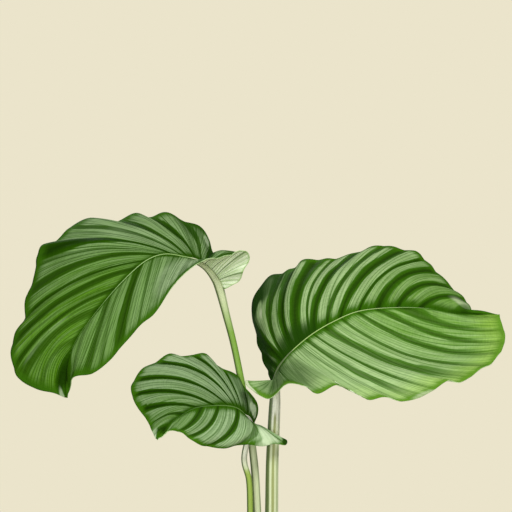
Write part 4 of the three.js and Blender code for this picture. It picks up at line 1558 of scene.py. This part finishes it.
@dataclass
class LeafStalk:
    """One leaf's stalk, which runs on as a tapering rib under the blade."""

    name: str
    plan: StalkPlan
    finish: StalkFinish
    rings: int = 260
    sides: int = 40
    rib_end: float = 0.94
    rib_tip_mm: float = 0.4
    rib_drop: float = 0.62
    # Long ridges: their depth as a share of the radius, their count round it and their twist
    ridges: tuple[Point, ...] = ((0.012, 7, 2), (0.01, 3, -5))
    # A sheath's open edge and channel: places to the side, half widths and depths
    seam_at: float = 0.66
    seam_half: float = 0.07
    seam_depth: float = 0.1
    channel_at: float = -0.04
    channel_half: float = 0.2
    channel_depth: float = 0.06
    sheath_end: Span = (0.35, 0.5)

    def build(self, blade: LeafBlade) -> bpy.types.Object:
        """Builds and dresses the stalk.

        Args:
            blade: The blade that it carries.

        Returns:
            The piece.
        """
        rows = np.vstack([np.array(self.plan.rows, float), self._rib_rows(blade)])
        bm = bmesh.new()
        sweep(bm, SmoothLine(rows), self.rings, self.sides, self._skin)
        material = self.finish.material(f"{self.name}_stalk")
        return publish(bm, f"stem_{self.name}", [material], [f"stalk_{self.name}"])

    def _rib_rows(self, blade: LeafBlade) -> np.ndarray:
        """Places the rib's rows, sunk a little into the blade's lower face.

        Args:
            blade: The blade.

        Returns:
            Rows of x, y, z and radius.
        """
        shares = np.arange(0.0, self.rib_end, self.plan.rib_step)
        places, ups = blade.spine(shares)
        radii = np.interp(shares, [0, self.plan.rib_reach, self.rib_end],
                          [*self.plan.rib_radius, self.rib_tip_mm])
        away = unit(np.array(self.plan.rib_lean, float) - ups)
        centres = places + away * (blade.thickness_mm / 2 + radii * self.rib_drop)[:, None]
        return np.column_stack([centres, radii])

    def _skin(self, run: np.ndarray, angle: np.ndarray) -> np.ndarray:
        """Shapes the stalk's section: long soft ridges and, on a sheathed stalk, its open edge.

        Args:
            run: The share of the stalk's run.
            angle: The angle round it, 0 towards the display side.

        Returns:
            The share of the radius at each point.
        """
        side, front = np.sin(angle), np.cos(angle)
        shape = np.ones_like(angle)
        for depth, count, twist in self.ridges:
            shape = shape + depth * np.sin(angle * count + twist * run)
        seam = np.exp(-((side - self.seam_at) / self.seam_half) ** 2) * (front > 0)
        channel = np.exp(-((side - self.channel_at) / self.channel_half) ** 2) * (front > 0)
        cut = self.plan.sheath * (self.seam_depth * seam + self.channel_depth * channel)
        return shape - cut * (1 - smooth_step(run, *self.sheath_end))


# Pot and soil

def turned(bm: bmesh.types.BMesh, profile: Sequence[Span], steps: int) -> None:
    """Turns a profile about the upright axis into a closed body.

    Args:
        bm: Where the body is made.
        profile: Radius and height pairs in millimetres, with both ends on the axis.
        steps: Steps round it.
    """
    verts = [bm.verts.new((radius * MM, 0, height * MM)) for radius, height in profile]
    edges = [bm.edges.new(pair) for pair in zip(verts, verts[1:])]
    bmesh.ops.spin(bm, geom=verts + edges, cent=(0, 0, 0), axis=(0, 0, 1), dvec=(0, 0, 0),
                   angle=math.tau, steps=steps, use_merge=True, use_duplicate=False)
    bmesh.ops.remove_doubles(bm, verts=bm.verts, dist=TURNED_WELD)
    bmesh.ops.dissolve_degenerate(bm, dist=TURNED_WELD, edges=bm.edges)
    bmesh.ops.recalc_face_normals(bm, faces=bm.faces)


@dataclass
class ClayPot:
    """A plain clay pot with a thick collar and three drainage holes."""

    foot_radius: float = 50.0
    height: float = 130.0
    collar_z: float = 102.0
    wall_radius: float = 64.5
    wall_steps: int = 12
    wave_depth: float = 0.18
    wave_pitch: float = 0.21
    collar_radius: Span = (70.5, 75.5)
    collar_steps: tuple[float, ...] = (0.0, 0.2, 0.45, 0.7, 0.9)
    lip_drop: float = 2.2
    lip_outer: float = 1.9
    lip_inner: float = 2.0
    inside: tuple[Span, ...] = ((66.0, 128.5), (65.0, 118.0), (60.0, 100.0), (45.5, 10.0))
    floor: float = 8.0
    floor_radius: float = 44.5
    corner_angle: float = math.radians(28)
    corner_bevel: float = 1.3
    drains: int = 3
    drain_radius: float = 5.0
    drain_circle: float = 26.0
    drain_sides: int = 32
    drain_depth: float = 30.0
    steps: int = 128
    finish: ClayFinish = ClayFinish()

    def build(self) -> bpy.types.Object:
        """Builds and dresses the pot.

        Returns:
            The piece.
        """
        bm = bmesh.new()
        turned(bm, self._profile(), self.steps)
        corners = [edge for edge in bm.edges
                   if edge.is_manifold and edge.calc_face_angle() > self.corner_angle]
        bmesh.ops.bevel(bm, geom=corners, offset=self.corner_bevel * MM, offset_type="OFFSET",
                        affect="EDGES", segments=4, profile=0.5, material=-1, clamp_overlap=True)
        piece = publish(bm, "clay_pot", [self.finish.material("fired_clay")], ["pot"])
        self._drill(piece)
        return piece

    def _profile(self) -> list[Span]:
        """Gives the pot's section, from the foot's middle round to the floor's.

        Returns:
            Radius and height pairs.
        """
        low, high = self.collar_radius
        wall = [(self.foot_radius + (self.wall_radius - self.foot_radius) * t, (self.collar_z - 1) * t)
                for t in (k / self.wall_steps for k in range(1, self.wall_steps))]
        waved = [(radius + self.wave_depth * math.sin(height * self.wave_pitch), height)
                 for radius, height in wall]
        collar = [(low + (high - low) * t, self.collar_z + (self.height - self.collar_z) * t)
                  for t in self.collar_steps]
        lip = [(high, self.height - self.lip_drop), (high - self.lip_outer, self.height),
               (self.inside[0][0] + self.lip_inner, self.height)]
        return [(0, 0), (self.foot_radius, 0), *waved, (self.wall_radius, self.collar_z), *collar, *lip,
                *self.inside, (self.floor_radius, self.floor), (0, self.floor)]

    def _drill(self, piece: bpy.types.Object) -> None:
        """Cuts the drainage holes.

        Args:
            piece: The pot.
        """
        bm = bmesh.new()
        for i in range(self.drains):
            angle = (i + 0.5) / self.drains * math.tau
            centre = Vector((math.cos(angle), math.sin(angle), 0)) * self.drain_circle * MM
            off_seam = Matrix.Rotation(math.pi / self.drain_sides, 4, "Z")
            bmesh.ops.create_cone(bm, cap_ends=True, segments=self.drain_sides,
                                  radius1=self.drain_radius * MM, radius2=self.drain_radius * MM,
                                  depth=self.drain_depth * MM,
                                  matrix=Matrix.Translation(centre) @ off_seam)
        cutter = solid(bm, "drain_cutter")
        cut = piece.modifiers.new("drains", "BOOLEAN")
        cut.operation, cut.object, cut.solver = "DIFFERENCE", cutter, "EXACT"
        graph = bpy.context.evaluated_depsgraph_get()
        drilled = bpy.data.meshes.new_from_object(piece.evaluated_get(graph))
        piece.modifiers.clear()
        piece.data = drilled
        bpy.data.objects.remove(cutter)
        bm = bmesh.new()
        bm.from_mesh(drilled)
        bmesh.ops.remove_doubles(bm, verts=bm.verts, dist=DRILLED_WELD)
        bmesh.ops.dissolve_degenerate(bm, dist=DRILLED_WELD, edges=bm.edges)
        bm.to_mesh(drilled)
        bm.free()


@dataclass
class PottingSoil:
    """The soil in the pot, with loose bits lying on it."""

    top: float = 118.0
    floor: float = 8.3
    wall: tuple[Span, ...] = ((64.6, 118.0), (59.6, 100.0), (45.1, 10.0), (43.1, 8.3))
    rings: int = 62
    steps: int = 120
    surface_slack: float = 0.1
    level_rim: float = 12.0
    lump: float = 1.6
    rough: float = 0.9
    rough_size: float = 7.0
    rough_at_rim: float = 0.25
    heap_rise: float = 1.6
    heap_fade: float = 3.5
    crumbs: int = 620
    crumb_radius: Span = (0.8, 2.4)
    flecks: int = 46
    fleck_radius: Span = (0.9, 1.9)
    scatter_radius: float = 62.5
    seed: int = 11

    # How far a loose bit may turn, tip, shrink, narrow, flatten, stand out and be misshapen.
    TURN, TIP = 6.3, 0.5
    SMALLER, NARROWER, FLATTER = (0.6, 1.0), (0.5, 0.9), (0.45, 0.8)
    STANDS_OUT, MISSHAPEN = 0.25, 0.18

    def build(self, stalks: Sequence[StalkPlan]) -> list[bpy.types.Object]:
        """Builds and dresses the soil.

        Args:
            stalks: The stalks that stand in it.

        Returns:
            The pieces.
        """
        feet = [(x, y, radius) for x, y, _, radius in (plan.rows[0] for plan in stalks)]
        bark = CrumbFinish(tint(58, 40, 26), tint(112, 82, 54)).material("bark_crumbs")
        white = CrumbFinish(tint(214, 210, 198), tint(236, 234, 226)).material("perlite")
        return [self._body(feet),
                self._scatter("soil_crumbs", self.crumbs, self.crumb_radius, feet, bark),
                self._scatter("soil_perlite", self.flecks, self.fleck_radius, feet, white)]

    def level(self, x: float, y: float) -> float:
        """Gives the soil's height.

        Args:
            x: Across, in millimetres.
            y: Back, in millimetres.

        Returns:
            The height in millimetres.
        """
        edge = self.wall[0][0]
        flat = 1 - float(smooth_step(np.array(math.hypot(x, y)), edge - self.level_rim, edge))
        wave_x = math.sin(x * 0.31 + 1.3 * math.sin(y * 0.17))
        wave_y = math.cos(y * 0.27 - 0.8 * math.sin(x * 0.21))
        lumps = self.lump * flat * (wave_x * wave_y)
        rough = self.rough * noise.fractal(Vector((x, y, 3.0)) / self.rough_size, 0.6, 2.0, 4)
        return self.top + lumps + rough * min(flat + self.rough_at_rim, 1)

    def _body(self, feet: Sequence[Point]) -> bpy.types.Object:
        """Builds the soil, heaped a little against each stalk.

        Args:
            feet: Each stalk's x, y and radius.

        Returns:
            The piece.
        """
        def heap(x: float, y: float) -> float:
            """Gives how high the soil is heaped at a place."""
            off = (max(math.hypot(x - fx, y - fy) - radius, 0) for fx, fy, radius in feet)
            return sum(self.heap_rise * math.exp(-gap / self.heap_fade) for gap in off)

        bm = bmesh.new()
        rings = [(radius, self.top) for radius in np.linspace(0, self.wall[0][0], self.rings)]
        turned(bm, [*rings, *self.wall[1:], (0, self.floor)], self.steps)
        for vert in bm.verts:
            if vert.co.z > (self.top - self.surface_slack) * MM:
                x, y = vert.co.x / MM, vert.co.y / MM
                vert.co.z = (self.level(x, y) + heap(x, y)) * MM
        return publish(bm, "soil_fill", [SoilFinish().material("moist_soil")], ["soil"])

    def _scatter(self, name: str, count: int, size: Span, feet: Sequence[Point],
                 material: bpy.types.Material) -> bpy.types.Object:
        """Scatters small lumps over the soil.

        Args:
            name: The piece's name.
            count: How many.
            size: Smallest and largest radius in millimetres.
            feet: Each stalk's x, y and radius, which the lumps keep clear of.
            material: Their material.

        Returns:
            The piece.
        """
        dice = random.Random(self.seed + count)
        bm = bmesh.new()
        while count:
            away = self.scatter_radius * math.sqrt(dice.random())
            angle = dice.random() * math.tau
            x, y = away * math.cos(angle), away * math.sin(angle)
            radius = dice.uniform(*size) * dice.uniform(*self.SMALLER)
            if any(math.hypot(x - fx, y - fy) < r + radius for fx, fy, r in feet):
                continue
            count -= 1
            turn = Matrix.Rotation(dice.random() * self.TURN, 4, "Z")
            turn = turn @ Matrix.Rotation(dice.uniform(-self.TIP, self.TIP), 4, "X")
            narrow, flat = dice.uniform(*self.NARROWER), dice.uniform(*self.FLATTER)
            centre = Vector((x, y, self.level(x, y) + radius * self.STANDS_OUT)) * MM
            matrix = Matrix.Translation(centre) @ turn @ Matrix.Diagonal((1.0, narrow, flat, 1.0))
            made = bmesh.ops.create_icosphere(bm, subdivisions=1, radius=radius * MM, matrix=matrix)
            for vert in made["verts"]:
                vert.co += Vector(dice.uniform(-self.MISSHAPEN, self.MISSHAPEN) * radius * MM
                                  for _ in range(3))
        return publish(bm, name, [material])


# Light and camera

@dataclass(frozen=True)
class SoftBox:
    """One large soft light."""

    name: str
    place: Point
    aim: Point
    size: float
    power: float
    colour: tuple[float, float, float] = (1.0, 1.0, 1.0)

    def build(self) -> None:
        """Hangs the light."""
        light = bpy.data.lights.new(self.name, "AREA")
        light.shape, light.size, light.energy, light.color = "DISK", self.size, self.power, self.colour
        lamp = stand(self.name, light)
        lamp.location = self.place
        beam = Vector(self.aim) - Vector(self.place)
        lamp.rotation_euler = beam.to_track_quat("-Z", "Y").to_euler()


@dataclass
class Studio:
    """The plain backdrop, floor, lights and camera, in metres."""

    camera_place: Point = (0.0, -1.5, 0.4176)
    half_view: float = 0.2176
    sensor_mm: float = 36.0
    backdrop: Colour = tint(235, 228, 203)
    ambient: Colour = (0.93, 0.96, 1.0, 1.0)
    ambient_strength: float = 0.3
    floor_radius: float = 1.5
    floor_sides: int = 96
    boxes: tuple[SoftBox, ...] = (
        SoftBox("key_light", (1.2, -2.6, 3.0), (0.0, 0.0, 0.38), 1.5, 152.0, (1.0, 0.985, 0.95)),
        SoftBox("fill_light", (-0.8, -4.0, 0.3), (0.0, 0.0, 0.33), 2.0, 85.0),
        SoftBox("back_light", (-1.0, 3.0, 3.0), (0.0, 0.0, 0.38), 2.0, 62.0),
    )

    def build(self) -> None:
        """Builds the studio."""
        bpy.context.scene.view_settings.view_transform = "Standard"
        self._world()
        self._floor()
        self._camera()
        for box in self.boxes:
            box.build()

    def _world(self) -> None:
        """Shows the plain backdrop to the camera and soft light to everything else."""
        world = bpy.data.worlds.new("studio")
        bpy.context.scene.world = world
        world.use_nodes = True
        nodes = Nodes(world.node_tree)
        light = nodes.tree.nodes["Background"]
        nodes.feed(light, {"Color": self.ambient, "Strength": self.ambient_strength})
        plain = nodes.add("ShaderNodeBackground", inputs={"Color": self.backdrop})
        is_seen = nodes.add("ShaderNodeLightPath", output="Is Camera Ray")
        ambient = Value(nodes, light.outputs[0])
        shown = nodes.add("ShaderNodeMixShader", inputs={0: is_seen, 1: ambient, 2: plain})
        nodes.feed(nodes.tree.nodes["World Output"], {"Surface": shown})

    def _floor(self) -> None:
        """Lays the floor."""
        bm = bmesh.new()
        bmesh.ops.create_circle(bm, cap_ends=True, segments=self.floor_sides, radius=self.floor_radius)
        floor = solid(bm, "floor", FloorFinish().material("pale_floor"))

    def _camera(self) -> None:
        """Sets the camera level with the leaves, looking at the display side."""
        data = bpy.data.cameras.new("camera")
        data.sensor_width = self.sensor_mm
        data.lens = self.sensor_mm / 2 * abs(self.camera_place[1]) / self.half_view
        camera = stand("camera", data)
        camera.location = self.camera_place
        camera.rotation_euler = (math.pi / 2, 0, 0)
        bpy.context.scene.camera = camera


# The plant

LEFT_LEAF = LeafFinish(
    silver=tint(110, 136, 88), fresh=tint(72, 114, 20), stripe=tint(34, 68, 3),
    border=tint(46, 86, 10), pale_and_highlight=tint(176, 192, 158), fresh_from=0.35, fresh_most=0.85,
    near_silver=0.4, far_half_painted_light=0.95, line_strength=0.95, thread_share=0.6, border_mm=12.0)
RIGHT_LEAF = LeafFinish(
    silver=tint(144, 170, 116), fresh=tint(84, 126, 34), stripe=tint(46, 88, 8), backlit_share=0.6,
    far_half_painted_light=0.86, rim_fade=0.35, border_mm=10.0, spine_shade_far_mm=12.0, spine_shade_near_mm=8.0)
SMALL_LEAF = LeafFinish(
    silver=tint(134, 158, 116), fresh=tint(84, 120, 48), pale_and_highlight=tint(172, 190, 154),
    far_half_painted_light=0.79, spine_shade_far_mm=12.0, spine_shade_near_mm=10.0)
LEFT_MIDRIB = MidribFinish(tint(126, 158, 86), tint(78, 116, 40))
# Painted shade: the small leaf's midrib is dark green, standing in for the shade in its valley
VALLEY_SHADE_MIDRIB = MidribFinish(tint(82, 114, 48), tint(46, 78, 22))

PALE, WHITE, CREAM = tint(184, 194, 154), tint(220, 222, 204), tint(180, 190, 148)
FRESH, OLIVE = tint(112, 148, 56), tint(126, 150, 60)
LEFT_SKIN = StalkFinish(stops=((0.0, PALE), (0.45, PALE), (0.58, FRESH), (0.78, FRESH), (0.87, CREAM)))
RIGHT_SKIN = StalkFinish(stops=((0.0, PALE), (0.5, PALE), (0.56, WHITE), (0.7, WHITE), (0.8, PALE)),
                         groove_share=0.9, side_shade_at=-0.5)
SMALL_SKIN = StalkFinish(stops=((0.0, OLIVE), (0.4, OLIVE), (0.45, WHITE)))

LEFT_STALK = StalkPlan(
    rows=(
        (5, 9, 92, 3.7), (5, 9, 106, 3.7), (5, 9, 120, 3.7), (4.5, 9, 142, 3.65), (3, 9, 170, 3.6),
        (1, 9, 200, 3.5), (-1, 8.5, 235, 3.4), (-5.5, 7.5, 272, 3.2), (-11.5, 6.5, 305, 3),
        (-18.5, 5, 340, 2.9), (-25, 3, 366, 3.2),
    ),
    rib_step=0.05, rib_radius=(3.9, 1.8), rib_reach=0.2)
RIGHT_STALK = StalkPlan(
    rows=(
        (12, -1, 92, 5.8), (12, -1, 106, 5.8), (12, -1, 120, 5.8), (12.2, -1, 142, 5.75),
        (12.8, -0.5, 170, 5.7), (13.4, 0, 205, 5.6), (13.8, 0, 240, 5.4), (15, 0, 270, 5.2),
        (16, 0, 292, 4.8),
    ),
    rib_step=0.075, rib_radius=(3.8, 1.5), rib_reach=0.225, sheath=1.0)
SMALL_STALK = StalkPlan(
    rows=(
        (-4, -8, 92, 2.8), (-4, -8, 106, 2.8), (-4, -8, 120, 2.8), (-4.5, -8, 142, 2.75),
        (-5, -8, 170, 2.7), (-5, -7.5, 204, 2.6), (-6, -7.5, 228, 2.5), (-10, -7, 247, 2.5),
    ),
    rib_step=0.1, rib_radius=(2.4, 1.2), rib_reach=0.2, rib_lean=(0.2, 0.5, 0))


def main() -> None:
    """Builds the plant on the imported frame, piece by piece."""
    logging.basicConfig(level=logging.INFO, format="%(name)s: %(message)s")
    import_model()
    Studio().build()
    leaves = [
        (LeafBlade("left", LEFT_BLADE, LEFT_LEAF, LEFT_MIDRIB),
         LeafStalk("left", LEFT_STALK, LEFT_SKIN)),
        (LeafBlade("right", RIGHT_BLADE, RIGHT_LEAF),
         LeafStalk("right", RIGHT_STALK, RIGHT_SKIN)),
        (LeafBlade("small", SMALL_BLADE, SMALL_LEAF, VALLEY_SHADE_MIDRIB),
         LeafStalk("small", SMALL_STALK, SMALL_SKIN)),
    ]
    pieces = []
    for blade, stalk in leaves:
        pieces += [*blade.build(), stalk.build(blade)]
    pieces += PottingSoil().build([LEFT_STALK, RIGHT_STALK, SMALL_STALK])
    pieces.append(ClayPot().build())
    for piece in pieces:
        log.info("%s: %d faces before modifiers", piece.name, len(piece.data.polygons))
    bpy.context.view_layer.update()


if __name__ == "__main__":
    main()
